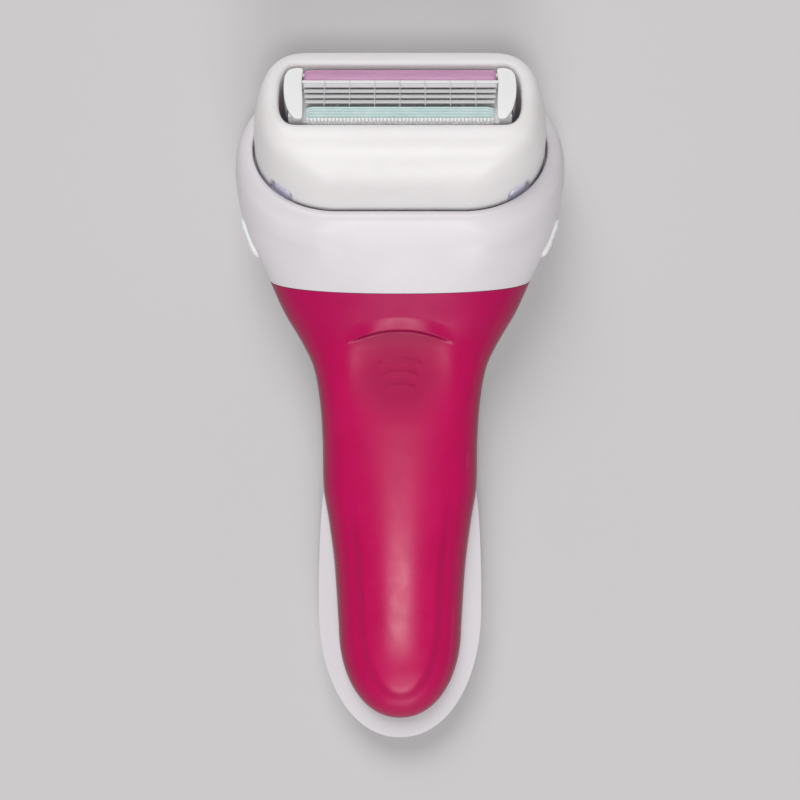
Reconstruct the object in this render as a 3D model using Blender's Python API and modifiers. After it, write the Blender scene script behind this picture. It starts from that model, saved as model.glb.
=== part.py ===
"""Cartridge razor with a lather bar, as an assembly of separate pieces, for Blender 4.5.

The razor lies on its back. X runs across it, +Y from the tail of the handle to the head, and Z is 0 on the
surface under it. Lengths below are in millimetres, and MM turns them into Blender's metres. A station is a
distance along Y from the tip of the tail. The head pieces are drawn in the head's own frame: u across,
v up the face and w straight out of it, with w = 0 on the collar's rim.
"""

import math

import bmesh
import bpy
from mathutils import Matrix, Vector

MM = 0.001
GAP = 0.3  # clearance between pieces that touch

# The whole razor
LENGTH = 124.05  # tail tip to the top of the bar, along Y
SECTION_POWER = 2.25  # squareness of the handle's sections

# The head's frame
HEAD_TILT = math.radians(36.0)  # how far the face leans from straight up, towards +Y
RIM_STATION = 107.6
RIM_HEIGHT = 16.6

# The lather bar, and the oval family it belongs to: half its straight side, then the radius of its ends
OVAL_STRAIGHT = 11.2
BAR_RADIUS = 14.8
BAR_TOP = 13.5
BAR_BOTTOM = -0.9
BAR_WALL_TOP = 3.4  # where the side wall starts to round over
BAR_CROWN_U = 3.6  # how far the crown rounds in at the ends
BAR_CROWN_V = 7.2  # and at the long sides
BAR_CORNER = 5.5  # how far the crown's ends draw out into corners
WINDOW_U = 21.2
WINDOW_V = 7.1
WINDOW_CORNER = 3.6

# The blade unit, which swings on PIVOT_W
UNIT_TOP = 13.6
UNIT_BOTTOM = 10.2
UNIT_HALF_U = 19.4
UNIT_HALF_V = 6.0
PIVOT_W = 8.5
BLADE_PITCH = 1.27
BLADE_HALF_U = 16.9
BLADE_WIDTH = 1.35
BLADE_THICK = 0.2
BLADE_TILT = math.radians(25)
FIRST_EDGE = -2.3
WIRES = 7
WIRE_PITCH = 4.4
WIRE_RADIUS = 0.08
PIN_RADIUS = 0.5

# The carriage that carries the blade unit on two springs
CROSSBAR = (3.6, 5.6)  # its underside and top
PLUNGER_U = 8.0
PLUNGER_RADIUS = 1.9
PLUNGER_BORE = 1.3
PLUNGER_BOTTOM = -3.5
ARM_U = (13.9, 15.5)
ARM_END = 1.35

# The tray under the bar
TRAY_TOP = -1.2
TRAY_BOTTOM = -2.8
SKIRT_RADIUS = 12.2
SKIRT_WALL = 1.2
SKIRT_BOTTOM = -7.5
TUBE_RADIUS = 3.2
TUBE_BORE = 2.2
TUBE_ENDS = (-8.0, 0.2)
TUBE_FLOOR = -7.2

# The collar and the frame inside it
COLLAR_WALL = 2.0
SOCKET_RADIUS = 15.2
MOUTH_RADIUS = 12.6
LEDGE = (-4.7, -3.1)  # its underside and top
PLATE = (-9.7, -8.3)
NECK_STATION = 84.0
NECK_HALF_WIDTH = 23.6
NECK_SLOPE = 0.3  # how far the neck joint runs back for each millimetre of depth

# The release buttons
BUTTON_STATION = 91.5
BUTTON_HEIGHT = 12.0
BUTTON_HALF_Y = 3.6
BUTTON_HALF_Z = 3.4
BUTTON_SLOPE = 0.36
BUTTON_FACE = 27.9
SEAT_X = 12.4

# The handle
SHELL_WALL = 1.7
TAIL_END = 24.0  # length of the rear shell's rounded end
TAIL_POWER = 2.1
GRIP_START = 3.7
GRIP_END = 17.0  # length of the grip's rounded end

COLOURS = {
    "grip_pink": ((0.52, 0.008, 0.085), 0.36, 0.0),
    "shell_white": ((0.80, 0.79, 0.80), 0.30, 0.0),
    "button_white": ((0.76, 0.79, 0.80), 0.25, 0.0),
    "tray_lavender": ((0.62, 0.58, 0.74), 0.25, 0.0),
    "lather_bar": ((0.88, 0.86, 0.84), 0.45, 0.0),
    "unit_white": ((0.84, 0.83, 0.84), 0.28, 0.0),
    "strip_purple": ((0.56, 0.30, 0.49), 0.40, 0.0),
    "guard_teal": ((0.46, 0.68, 0.66), 0.50, 0.0),
    "blade_steel": ((0.66, 0.66, 0.68), 0.22, 1.0),
    "spring_steel": ((0.55, 0.55, 0.57), 0.30, 1.0),
}


# ---------------------------------------------------------------- scene helpers


def clear_scene():
    for obj in list(bpy.data.objects):
        bpy.data.objects.remove(obj, do_unlink=True)


def collection(name, helper=False):
    made = bpy.data.collections.new(name)
    bpy.context.scene.collection.children.link(made)
    made.hide_render = helper
    return made


def material(name):
    colour, roughness, metallic = COLOURS[name]
    made = bpy.data.materials.get(name) or bpy.data.materials.new(name)
    made.use_nodes = True
    shader = made.node_tree.nodes["Principled BSDF"]
    shader.inputs["Base Color"].default_value = (*colour, 1.0)
    shader.inputs["Roughness"].default_value = roughness
    shader.inputs["Metallic"].default_value = metallic
    return made


def empty(name, parent=None, location=(0, 0, 0), rotation=(0, 0, 0)):
    made = bpy.data.objects.new(name, None)
    RAZOR.objects.link(made)
    made.parent = parent
    made.location = Vector(location) * MM
    made.rotation_euler = rotation
    return made


def place(name, data, group, parent):
    """An object for data drawn in the head's frame, or in the razor's if it has no parent."""
    made = bpy.data.objects.new(name, data)
    group.objects.link(made)
    if parent is not None:
        made.parent = parent
        if parent.parent is not None:
            made.location = -parent.location
    return made


def add(name, mesh, finish, parent=None):
    """A piece of the razor."""
    mesh.transform(Matrix.Scale(MM, 4))
    mesh.materials.append(material(finish))
    mesh.shade_smooth()
    mesh.set_sharp_from_angle(angle=math.radians(35))
    return place(name, mesh, RAZOR, parent)


def helper(name, mesh, parent=None):
    """A cutter, or a shape that another piece takes in."""
    mesh.transform(Matrix.Scale(MM, 4))
    made = place(name, mesh, CUTTERS, parent)
    made.hide_render = True
    made.display_type = "WIRE"
    return made


def combine(obj, other, operation):
    boolean = obj.modifiers.new(f"{operation.lower()}_{other.name}", "BOOLEAN")
    boolean.object = other
    boolean.operation = operation
    boolean.solver = "EXACT"
    return boolean


def cut(obj, *cutters):
    for cutter in cutters:
        combine(obj, cutter, "DIFFERENCE")


def join(obj, *others):
    for other in others:
        combine(obj, other, "UNION")


def bevel(obj, width, segments=2, angle=40):
    made = obj.modifiers.new("bevel", "BEVEL")
    made.width = width * MM
    made.segments = segments
    made.limit_method = "ANGLE"
    made.angle_limit = math.radians(angle)
    made.harden_normals = False
    return made


# ---------------------------------------------------------------- shapes, in millimetres


def mesh_of(work, name):
    bmesh.ops.recalc_face_normals(work, faces=work.faces)
    mesh = bpy.data.meshes.new(name)
    work.to_mesh(mesh)
    work.free()
    return mesh


def box(name, low, high):
    low, high = Vector(low), Vector(high)
    size = high - low
    place = Matrix.Translation((low + high) / 2) @ Matrix.Diagonal((*size, 1))
    work = bmesh.new()
    bmesh.ops.create_cube(work, size=1.0, matrix=place)
    return mesh_of(work, name)


def rod(name, start, end, radius, segments=20):
    start, end = Vector(start), Vector(end)
    along = end - start
    turn = along.to_track_quat("Z", "Y").to_matrix().to_4x4()
    place = Matrix.Translation((start + end) / 2) @ turn
    work = bmesh.new()
    bmesh.ops.create_cone(
        work, cap_ends=True, segments=segments, radius1=radius, radius2=radius, depth=along.length, matrix=place
    )
    return mesh_of(work, name)


def slab(name, outline, low, high, across=False):
    """A flat outline given thickness. It lies in u, v and runs along w, or with across in v, w and runs along u."""
    curve = bpy.data.curves.new(name, "CURVE")
    curve.dimensions = "2D"
    curve.fill_mode = "BOTH"
    curve.extrude = (high - low) / 2
    spline = curve.splines.new("POLY")
    spline.points.add(len(outline) - 1)
    for point, (a, b) in zip(spline.points, outline):
        point.co = (a, b, 0, 1)
    spline.use_cyclic_u = True
    guide = bpy.data.objects.new(name, curve)
    CUTTERS.objects.link(guide)
    graph = bpy.context.evaluated_depsgraph_get()
    mesh = bpy.data.meshes.new_from_object(guide.evaluated_get(graph))
    bpy.data.objects.remove(guide)
    work = bmesh.new()
    work.from_mesh(mesh)
    bmesh.ops.remove_doubles(work, verts=work.verts, dist=1e-4)
    bmesh.ops.translate(work, verts=work.verts, vec=(0, 0, (low + high) / 2))
    if across:
        turn = Matrix(((0, 0, 1), (1, 0, 0), (0, 1, 0)))
        bmesh.ops.transform(work, matrix=turn.to_4x4(), verts=work.verts)
    return mesh_of(work, name)


def loft(name, rings, loop=False):
    """Skins rings of equal length. The ends are capped, or with loop the last ring joins the first."""
    work = bmesh.new()
    rows = [[work.verts.new(point) for point in ring] for ring in rings]
    count = len(rings[0])
    pairs = list(zip(rows, rows[1:]))
    if loop:
        pairs.append((rows[-1], rows[0]))
    for first, second in pairs:
        for i in range(count):
            k = (i + 1) % count
            work.faces.new((first[i], first[k], second[k], second[i]))
    if not loop:
        work.faces.new(rows[0])
        work.faces.new(rows[-1])
    return mesh_of(work, name)


def sheet(name, rows):
    """An open surface through rows of points, with points that coincide made one."""
    work = bmesh.new()
    grid = [[work.verts.new(point) for point in row] for row in rows]
    for first, second in zip(grid, grid[1:]):
        for i in range(len(first) - 1):
            work.faces.new((first[i], first[i + 1], second[i + 1], second[i]))
    bmesh.ops.remove_doubles(work, verts=work.verts, dist=1e-4)
    bmesh.ops.dissolve_degenerate(work, edges=work.edges, dist=1e-5)
    return mesh_of(work, name)


def half_shell(name, rows, finish, outward):
    """A thin shell from the +X half of its outer surface: mirrored, thickened inwards and trimmed at the neck."""
    mesh = sheet(name, rows)
    if sum(face.area * face.normal.z for face in mesh.polygons) * outward < 0:
        mesh.flip_normals()
    shell = add(name, mesh, finish)
    mirror = shell.modifiers.new("mirror", "MIRROR")
    mirror.merge_threshold = 0.00002
    mirror.use_clip = True
    solidify = shell.modifiers.new("wall", "SOLIDIFY")
    solidify.thickness = SHELL_WALL * MM
    solidify.offset = -1
    solidify.use_even_offset = True
    beyond = box(f"{name}_end", (-40, 0, -40), (40, 20, 40))
    lean = Matrix.Rotation(math.atan(NECK_SLOPE), 4, "X")
    beyond.transform(Matrix.Translation((0, along(NECK_STATION - GAP), NECK_MIDDLE)) @ lean)
    cut(shell, helper(f"{name}_end", beyond))
    return shell


def coil(name, start, end, radius, wire, turns, finish, parent=None):
    """A compression spring of round wire between two points."""
    start, end = Vector(start), Vector(end)
    along = end - start
    turn = along.to_track_quat("Z", "Y").to_matrix()
    steps = 8 * turns
    curve = bpy.data.curves.new(name, "CURVE")
    curve.dimensions = "3D"
    curve.bevel_depth = wire / 2 * MM
    curve.bevel_resolution = 1
    curve.use_fill_caps = True
    spline = curve.splines.new("POLY")
    spline.points.add(steps)
    for i, point in enumerate(spline.points):
        angle = 2 * math.pi * turns * i / steps
        rise = wire / 2 + (along.length - wire) * i / steps
        local = Vector((radius * math.cos(angle), radius * math.sin(angle), rise))
        point.co = (*((start + turn @ local) * MM), 1)
    curve.materials.append(material(finish))
    return place(name, curve, RAZOR, parent)


def smooth(knots, x):
    """A smooth curve through (x, y) knots, held level past both ends."""
    if x <= knots[0][0]:
        return knots[0][1]
    if x >= knots[-1][0]:
        return knots[-1][1]
    k = max(i for i in range(len(knots) - 1) if knots[i][0] <= x)
    (x0, y0), (x1, y1) = knots[k], knots[k + 1]

    def slope(i):
        before, after = knots[max(i - 1, 0)], knots[min(i + 1, len(knots) - 1)]
        return (after[1] - before[1]) / (after[0] - before[0])

    t = (x - x0) / (x1 - x0)
    m0, m1 = slope(k) * (x1 - x0), slope(k + 1) * (x1 - x0)
    return (
        (2 * t**3 - 3 * t**2 + 1) * y0 + (t**3 - 2 * t**2 + t) * m0 + (3 * t**2 - 2 * t**3) * y1 + (t**3 - t**2) * m1
    )


def power(value, exponent):
    return math.copysign(abs(value) ** exponent, value)


def oval(radius_u, radius_v, w=0.0, straight=OVAL_STRAIGHT, ends=9, middles=4, squareness=2.0):
    """A ring of (u, v, w) points: two rounded ends that many points each side, joined by straight sides."""
    quarter = []
    for i in range(ends):
        angle = math.pi / 2 * i / (ends - 1)
        quarter.append((
            straight + radius_u * power(math.cos(angle), 2 / squareness),
            radius_v * power(math.sin(angle), 2 / squareness),
        ))
    across = [straight * (1 - 2 * i / middles) for i in range(1, middles)]
    upper = quarter + [(u, radius_v) for u in across] + [(-u, v) for u, v in reversed(quarter)]
    lower = [(-u, -v) for u, v in upper[1:-1]]
    return [(u, v, w) for u, v in upper + lower]


# ---------------------------------------------------------------- the head's frame


def along(station):
    return station - LENGTH / 2


def head_point(u, v, w):
    """A point of the head's frame, in the razor's."""
    up, out = math.cos(HEAD_TILT), math.sin(HEAD_TILT)
    return (u, along(RIM_STATION) + v * up + w * out, RIM_HEIGHT - v * out + w * up)


# ---------------------------------------------------------------- the handle


GRIP_WIDTH = [(20.7, 11.2), (32, 11.95), (40, 12.95), (46, 13.9), (55, 14.1), (62, 14.6), (68, 15.7),
              (72, 17.55), (78, 21.0), (NECK_STATION, NECK_HALF_WIDTH), (90, 26)]
REAR_WIDTH = [(TAIL_END, 14.87), (30, 14.85), (36, 14.65), (42, 14.3), (46, 13.85)]
PARTING = [(0, 6.4), (20, 7.8), (46, 9.4), (60, 10.4), (NECK_STATION, 12.1)]
FRONT = [(20.7, 15.2), (32, 16.4), (46, 17.6), (58, 18.3), (66, 18.6), (72, 19.3), (78, 21.1),
         (NECK_STATION, 22.7)]
BACK = [(13, -0.45), (26, -0.35), (40, 1.5), (55, 3.2), (66, 3.4), (76, 2.6), (NECK_STATION, 1.5)]
NECK_MIDDLE = 12.1
FLANGE = 2.1  # how far the rear shell's flange runs in under the grip
DISH_DEPTH = 1.3
DISH_START = 59.0
DISH_ARCH = 75.6
DISH_HALF_WIDTH = 10.0


def rounded_end(station, start, length, width):
    """Half-width of a rounded end that starts at a point and reaches its full width after length."""
    t = max(0.0, min(1.0, (start + length - station) / length))
    return width * (1 - t**TAIL_POWER) ** (1 / TAIL_POWER)


def grip_half(station):
    if station < GRIP_START + GRIP_END:
        return rounded_end(station, GRIP_START, GRIP_END, GRIP_WIDTH[0][1])
    return smooth(GRIP_WIDTH, station)


def rear_half(station):
    if station < TAIL_END:
        return rounded_end(station, 0.0, TAIL_END, REAR_WIDTH[0][1])
    if station < REAR_WIDTH[-1][0]:
        return smooth(REAR_WIDTH, station)
    return smooth(GRIP_WIDTH, station) - 0.05


def front_rise(station):
    """Height of the grip above its lower edge."""
    if station < GRIP_START + GRIP_END:
        full = FRONT[0][1] - smooth(PARTING, FRONT[0][0]) - GAP / 2
        return rounded_end(station, GRIP_START, GRIP_END, full)
    return smooth(FRONT, station) - smooth(PARTING, station) - GAP / 2


def back_drop(station):
    """Depth of the rear shell below its rim."""
    first, height = BACK[0]
    if station < first:
        return rounded_end(station, 0.0, first, smooth(PARTING, first) - GAP / 2 - height)
    return smooth(PARTING, station) - GAP / 2 - smooth(BACK, station)


def thumb_dish(x, station):
    """Depth of the thumb dish: deepest under its arch, fading towards the waist and the sides."""
    arch = DISH_ARCH - 3.2 * (x / DISH_HALF_WIDTH) ** 2
    if station >= arch or station <= DISH_START:
        return 0.0
    side = max(0.0, 1 - (abs(x) / DISH_HALF_WIDTH) ** 4)
    rise = (station - DISH_START) / (arch - DISH_START)
    step = min(1.0, (arch - station) / 1.2)
    return DISH_DEPTH * side * rise * step


def handle_point(x, station, z):
    """A point of the handle. Towards the neck its sections lean to meet the collar's."""
    lean = NECK_SLOPE * max(0.0, min(1.0, (station - 70.0) / (NECK_STATION - 70.0)))
    return (x, along(station - lean * (z - NECK_MIDDLE)), max(z, 0.0))


def arc(half, rise, count):
    """Points of a section from its middle round to its side, as (x, rise)."""
    angles = [math.pi / 2 * (1 - i / count) for i in range(count + 1)]
    return [
        (half * power(math.cos(a), 2 / SECTION_POWER), rise * power(math.sin(a), 2 / SECTION_POWER)) for a in angles
    ]


def end_stations(start, length, count):
    return [start + length * (1 - math.cos(math.pi / 2 * i / count)) for i in range(count)]


def grip_shell():
    stations = end_stations(GRIP_START, GRIP_END, 7)
    stations += [20.7, 27, 34, 41, 48, 55, 60, 64, 68, 71, 73, 74.4, 75.6, 77.0, 80, NECK_STATION, NECK_STATION + 2]
    rows = []
    for station in stations:
        edge = smooth(PARTING, station) + GAP / 2
        section = arc(grip_half(station), front_rise(station), 11)
        rows.append([handle_point(x, station, edge + z - thumb_dish(x, station)) for x, z in section])
    return half_shell("grip_shell", rows, "grip_pink", 1)


def rear_shell():
    """The back of the handle. Its rim turns inwards as the flange that the grip sits on."""
    stations = end_stations(0.0, TAIL_END, 8) + [TAIL_END, 32, 39, 46, 54, 62, 68, 73, 78, NECK_STATION, NECK_STATION + 2]
    rows = []
    for station in stations:
        edge = smooth(PARTING, station) - GAP / 2
        row = [handle_point(x, station, edge - z) for x, z in arc(rear_half(station), back_drop(station), 9)]
        inner_station = max(station, GRIP_START + FLANGE)
        if station < GRIP_START + FLANGE:
            inner = (grip_half(inner_station) - FLANGE) * station / (GRIP_START + FLANGE)
        else:
            inner = grip_half(station) - FLANGE
        sunk = GAP / 2 + 0.45 * max(0.0, 1 - station / 12)  # the grip's wall leans in at its tip
        row.append(handle_point(inner, inner_station, smooth(PARTING, inner_station) - sunk))
        rows.append(row)
    return half_shell("rear_shell", rows, "shell_white", -1)


# ---------------------------------------------------------------- the collar


COLLAR_SHOULDER = [(0.0, 16.2), (-0.5, 16.9), (-1.4, 17.6)]  # w, then end radius
# From the shoulder to the neck: the front and back points as (station, height), half the width, and how far
# the ring has turned from the head's oval into the neck's section
COLLAR_BEND = [
    ((91.2, 25.5), (120.7, 3.6), 29.4, 0.0),
    ((89.9, 25.17), (119.8, 1.95), 29.7, 0.05),
    ((88.6, 24.83), (116.6, 0.1), 29.65, 0.15),
    ((87.2, 24.47), (109.6, -0.35), 29.0, 0.4),
    ((85.4, 24.0), (101.4, -0.35), 27.75, 0.65),
    ((83.2, 23.4), (93.9, 0.4), 25.7, 0.85),
    ((80.82, 22.7), (87.18, 1.5), NECK_HALF_WIDTH, 1.0),
]
HOLLOW_RADIUS = 16.5  # the collar's hollow, just under its ledge
TENON_LENGTH = 4.0
TENON_INSET = (2.5, 4.2, 5.6)  # at its root and at its end, then its bore


def bend_ring(front, back, half_width, blend, inset=0.0, lift=0.0):
    front, back = Vector(front), Vector(back)
    down = (back - front).normalized()
    middle = (front + back) / 2 + Vector((-down.y, down.x)) * lift
    reach = (back - front).length / 2 - inset
    half_width -= inset
    straight = OVAL_STRAIGHT * half_width / (OVAL_STRAIGHT + BAR_RADIUS)
    ring = []
    for u, v, _ in oval(half_width - straight, reach, straight=straight):
        angle = math.atan2(v / reach, u / half_width)
        across = half_width * power(math.cos(angle), 2 / SECTION_POWER)
        depth = reach * power(math.sin(angle), 2 / SECTION_POWER)
        point = middle + down * (v + (depth - v) * blend)
        ring.append((u + (across - u) * blend, along(point.x), max(point.y, 0.0)))
    return ring


def head_ring(radius, w):
    return [head_point(*point) for point in oval(radius, radius, w)]


def collar():
    """The white head of the handle: a rim round the bar, a ledge for the tray and a tenon into both shells."""
    outside = [head_ring(radius, w) for w, radius in COLLAR_SHOULDER] + [bend_ring(*bend) for bend in COLLAR_BEND]
    neck, (root, end, bore) = COLLAR_BEND[-1], TENON_INSET
    tenon = [
        bend_ring(*neck, inset=root),
        bend_ring(*neck, inset=end, lift=-TENON_LENGTH),
        bend_ring(*neck, inset=bore, lift=-TENON_LENGTH),
        bend_ring(*neck, inset=bore),
    ]
    inside = [bend_ring(*bend, inset=COLLAR_WALL) for bend in reversed(COLLAR_BEND[2:-1])]
    under, top = LEDGE
    socket = [
        head_ring(HOLLOW_RADIUS, under),
        head_ring(MOUTH_RADIUS, under),
        head_ring(MOUTH_RADIUS, top),
        head_ring(SOCKET_RADIUS, top),
        head_ring(SOCKET_RADIUS, -0.35),
        head_ring(SOCKET_RADIUS + 0.35, 0.0),
    ]
    body = add("collar", loft("collar", outside + tenon + inside + socket, loop=True), "shell_white")
    for name, side in SIDES:
        y, half_y, half_z = along(BUTTON_STATION), BUTTON_HALF_Y + GAP, BUTTON_HALF_Z + GAP
        low, high = sorted((side * 17, side * 35))
        window = box(
            f"{name}_window", (low, y - half_y, BUTTON_HEIGHT - half_z), (high, y + half_y, BUTTON_HEIGHT + half_z)
        )
        cutter = helper(f"{name}_window", window)
        bevel(cutter, 1.1 + GAP, 3)
        cut(body, cutter)
    return body


def head_chassis(head):
    """The frame inside the collar: a plate under the cartridge, its posts, spring seats and a tongue."""
    under, top = PLATE
    body = add("head_chassis", box("head_chassis", (-16, -15, under), (16, 9.5, top)), "shell_white", head)
    for name, side in SIDES:
        low, high = sorted((side * 7.4, side * 10.6))
        join(body, helper(f"{name}_post", box(f"{name}_post", (low, -15, top - 0.6), (high, -13, LEDGE[0] - GAP)), head))
    y = along(BUTTON_STATION)
    seat = box("spring_seat", (-SEAT_X, y - 3.2, BUTTON_HEIGHT - 3.6), (SEAT_X, y + 3.2, 15.6))
    tongue = box("tongue", (-4, along(58), 8.6), (4, along(98), 13.2))
    join(body, helper("spring_seat", seat), helper("tongue", tongue))
    return body


# ---------------------------------------------------------------- the release buttons


def release_button(name, side):
    """A side button: its pad in the collar's wall, the flange that stops it, and an arm up to the latch nose."""
    y, z = along(BUTTON_STATION), BUTTON_HEIGHT
    pad = box(name, (20.5, y - BUTTON_HALF_Y, z - BUTTON_HALF_Z), (BUTTON_FACE, y + BUTTON_HALF_Y, z + BUTTON_HALF_Z))
    flange = box(f"{name}_flange", (19.9, y - 3.1, z - 3.2), (22.0, y + 4.4, z + 4.2))
    for mesh in (pad, flange):
        for vertex in mesh.vertices:
            vertex.co.x += BUTTON_SLOPE * (vertex.co.y - y)
    outline = [(-12.4, -16.0), (-6.6, -16.0), (1.7, -12.4), (1.7, -4.4), (-1.7, -4.4), (-1.7, -11.4), (-12.4, -11.4)]
    arm = slab(f"{name}_arm", outline, 19.4, 21.2, across=True)
    nose = box(f"{name}_nose", (21.0, -1.5, -6.6), (21.7, 1.5, -5.0))
    for mesh in (arm, nose):
        mesh.transform(Matrix.Translation(head_point(0, 0, 0)) @ Matrix.Rotation(-HEAD_TILT, 4, "X"))
    if side < 0:
        for mesh in (pad, flange, arm, nose):
            mesh.transform(Matrix.Diagonal((-1, 1, 1, 1)))
            mesh.flip_normals()
    body = add(name, pad, "button_white")
    bevel(body, 1.1, 3)
    join(body, *(helper(mesh.name, mesh) for mesh in (flange, arm, nose)))
    return body


def button_spring(name, side):
    y, z = along(BUTTON_STATION), BUTTON_HEIGHT
    return coil(name, (side * (SEAT_X + 0.1), y, z), (side * 18.9, y, z), 2.2, 0.45, 5, "spring_steel")


# ---------------------------------------------------------------- the cartridge


def lather_bar(cartridge):
    """The soap: a tall oval with a crowned top and a window for the blade unit."""
    levels = [(BAR_BOTTOM, 0.35), (BAR_BOTTOM + 0.4, 0.0), (BAR_WALL_TOP, 0.0)]
    steps = 6
    for i in range(1, steps + 1):
        angle = math.pi / 2 * i / steps * 0.94
        levels.append((BAR_WALL_TOP + (BAR_TOP - BAR_WALL_TOP) * math.sin(angle), 1 - math.cos(angle)))
    rings = []
    for w, round_in in levels:
        inset_u, inset_v = (round_in, round_in) if w < 0 else (round_in * BAR_CROWN_U, round_in * BAR_CROWN_V)
        square = 1 - (1 - round_in) ** 3 if w > 0 else 0.0
        corner, straight = square * BAR_CORNER, OVAL_STRAIGHT + square * BAR_CORNER
        ring = oval(BAR_RADIUS - inset_u - corner, BAR_RADIUS - inset_v, w, straight, squareness=2 + 0.6 * square)
        rings.append(ring)
    straight = WINDOW_U - WINDOW_CORNER
    for w in (BAR_TOP, BAR_BOTTOM):
        rings.append(oval(WINDOW_CORNER, WINDOW_V, w, straight=straight, squareness=3.0))
    return add("lather_bar", loft("lather_bar", rings, loop=True), "lather_bar", cartridge)


def bar_tray(cartridge):
    """Carries the bar: an oval floor, a skirt that plugs into the collar, and two tubes for the carriage."""
    inner = SKIRT_RADIUS - SKIRT_WALL
    floor = [(u, v) for u, v, _ in oval(BAR_RADIUS - 0.1, BAR_RADIUS - 0.1, middles=1)]
    tray = add("bar_tray", slab("bar_tray", floor, TRAY_BOTTOM, TRAY_TOP), "tray_lavender", cartridge)
    high = TRAY_BOTTOM + 0.6
    rings = [(SKIRT_RADIUS, high), (SKIRT_RADIUS, SKIRT_BOTTOM), (inner, SKIRT_BOTTOM), (inner, high)]
    join(tray, helper("skirt", loft("skirt", [oval(r, r, w) for r, w in rings], loop=True), cartridge))
    for name, side in SIDES:
        u = side * PLUNGER_U
        low, top = TUBE_ENDS
        join(tray, helper(f"{name}_tube", rod(f"{name}_tube", (u, 0, low), (u, 0, top), TUBE_RADIUS), cartridge))
        cut(tray, helper(f"{name}_bore", rod(f"{name}_bore", (u, 0, TUBE_FLOOR), (u, 0, 3), TUBE_BORE), cartridge))
        near, far = sorted((side * 21.6, side * 24.5))
        cut(tray, helper(f"{name}_catch", box(f"{name}_catch", (near, -1.9, -6.9), (far, 1.9, -4.7)), cartridge))
    return tray


def blade_carriage(carriage):
    """A crossbar with two arms up to the pivot, on two hollow plungers."""
    low, top = CROSSBAR
    near, far = ARM_U
    body = add("blade_carriage", box("blade_carriage", (-far, -1.6, low), (far, 1.6, top)), "shell_white", carriage)
    turns = [math.pi * i / 8 for i in range(9)]
    side_view = [(1.6, low + 0.5), *((ARM_END * math.cos(a), PIVOT_W + ARM_END * math.sin(a)) for a in turns)]
    side_view.append((-1.6, low + 0.5))
    for name, side in SIDES:
        first, last = sorted((side * near, side * far))
        join(body, helper(f"{name}_arm", slab(f"{name}_arm", side_view, first, last, across=True), carriage))
        u = side * PLUNGER_U
        plunger = rod(f"{name}_plunger", (u, 0, PLUNGER_BOTTOM), (u, 0, top - 0.5), PLUNGER_RADIUS)
        join(body, helper(f"{name}_plunger", plunger, carriage))
        bore = rod(f"{name}_spring_bore", (u, 0, -5), (u, 0, low - 0.6), PLUNGER_BORE)
        hole = rod(f"{name}_arm_hole", (side * 13, 0, PIVOT_W), (side * 16, 0, PIVOT_W), PIN_RADIUS + GAP, 16)
        cut(body, helper(f"{name}_spring_bore", bore, carriage), helper(f"{name}_arm_hole", hole, carriage))
    return body


def pivot_pin(name, side, carriage):
    start, end = (side * (ARM_U[0] + 0.2), 0, PIVOT_W), (side * (ARM_U[1] + 1.6), 0, PIVOT_W)
    return add(name, rod(name, start, end, PIN_RADIUS, 16), "blade_steel", carriage)


def return_leaf(carriage):
    """A thin curved tongue on the crossbar that holds the blade unit level."""
    top = CROSSBAR[1] + 0.1
    reach = UNIT_BOTTOM - 0.15
    line = [(1.2, top + 0.15), (-0.6, top + 0.15), (-1.5, top + 0.7), (-1.3, top + 1.7), (0.2, reach - 0.9),
            (1.8, reach - 0.2)]
    rows = []
    for k, (v, w) in enumerate(line):
        before, after = Vector(line[max(k - 1, 0)]), Vector(line[min(k + 1, len(line) - 1)])
        across = (after - before).normalized() * 0.12
        rows.append(((v - across.y, w + across.x), (v + across.y, w - across.x)))
    outline = [first for first, _ in rows] + [second for _, second in reversed(rows)]
    mesh = slab("return_leaf", outline, -3.0, 3.0, across=True)
    return add("return_leaf", mesh, "spring_steel", carriage)


# ---------------------------------------------------------------- the blade unit


def blade_frame(unit):
    """A shallow tray for the blades, with a lug at each end that hangs on its pivot pin."""
    wall = UNIT_TOP - 0.7
    body = add(
        "blade_frame",
        box("blade_frame", (-UNIT_HALF_U, -UNIT_HALF_V, UNIT_BOTTOM), (UNIT_HALF_U, UNIT_HALF_V, wall)),
        "unit_white",
        unit,
    )
    well = box("well", (-17.3, -5.1, UNIT_BOTTOM + 1.0), (17.3, 5.2, UNIT_TOP + 1))
    step = box("step", (-17.3, 5.0, wall - 0.7), (17.3, 7.0, UNIT_TOP + 1))
    cut(body, helper("well", well, unit), helper("step", step, unit))
    for name, side in SIDES:
        low, high = sorted((side * (ARM_U[1] + GAP), side * (ARM_U[1] + 2.0)))
        lug = box(f"{name}_lug", (low, -1.5, PIVOT_W - 1.5), (high, 1.5, UNIT_BOTTOM + 0.5))
        hole = rod(f"{name}_lug_hole", (side * 15, 0, PIVOT_W), (side * 18, 0, PIVOT_W), PIN_RADIUS + GAP, 16)
        join(body, helper(f"{name}_lug", lug, unit))
        cut(body, helper(f"{name}_lug_hole", hole, unit))
    return body


def blade(index, unit):
    """A thin tilted strip whose edge points at the guard."""
    edge = Vector((FIRST_EDGE + BLADE_PITCH * index, UNIT_TOP - 0.3))
    back = edge + Vector((math.cos(BLADE_TILT), -math.sin(BLADE_TILT))) * BLADE_WIDTH
    under = Vector((-math.sin(BLADE_TILT), -math.cos(BLADE_TILT))) * BLADE_THICK
    ground = edge + (back - edge) * 0.3 + under
    outline = [tuple(point) for point in (edge, ground, back + under, back)]
    name = f"blade_{index + 1}"
    return add(name, slab(name, outline, -BLADE_HALF_U, BLADE_HALF_U, across=True), "blade_steel", unit)


def face_strip(name, finish, low, high, unit):
    body = add(name, box(name, low, high), finish, unit)
    bevel(body, 0.3, 2)
    return body


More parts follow.
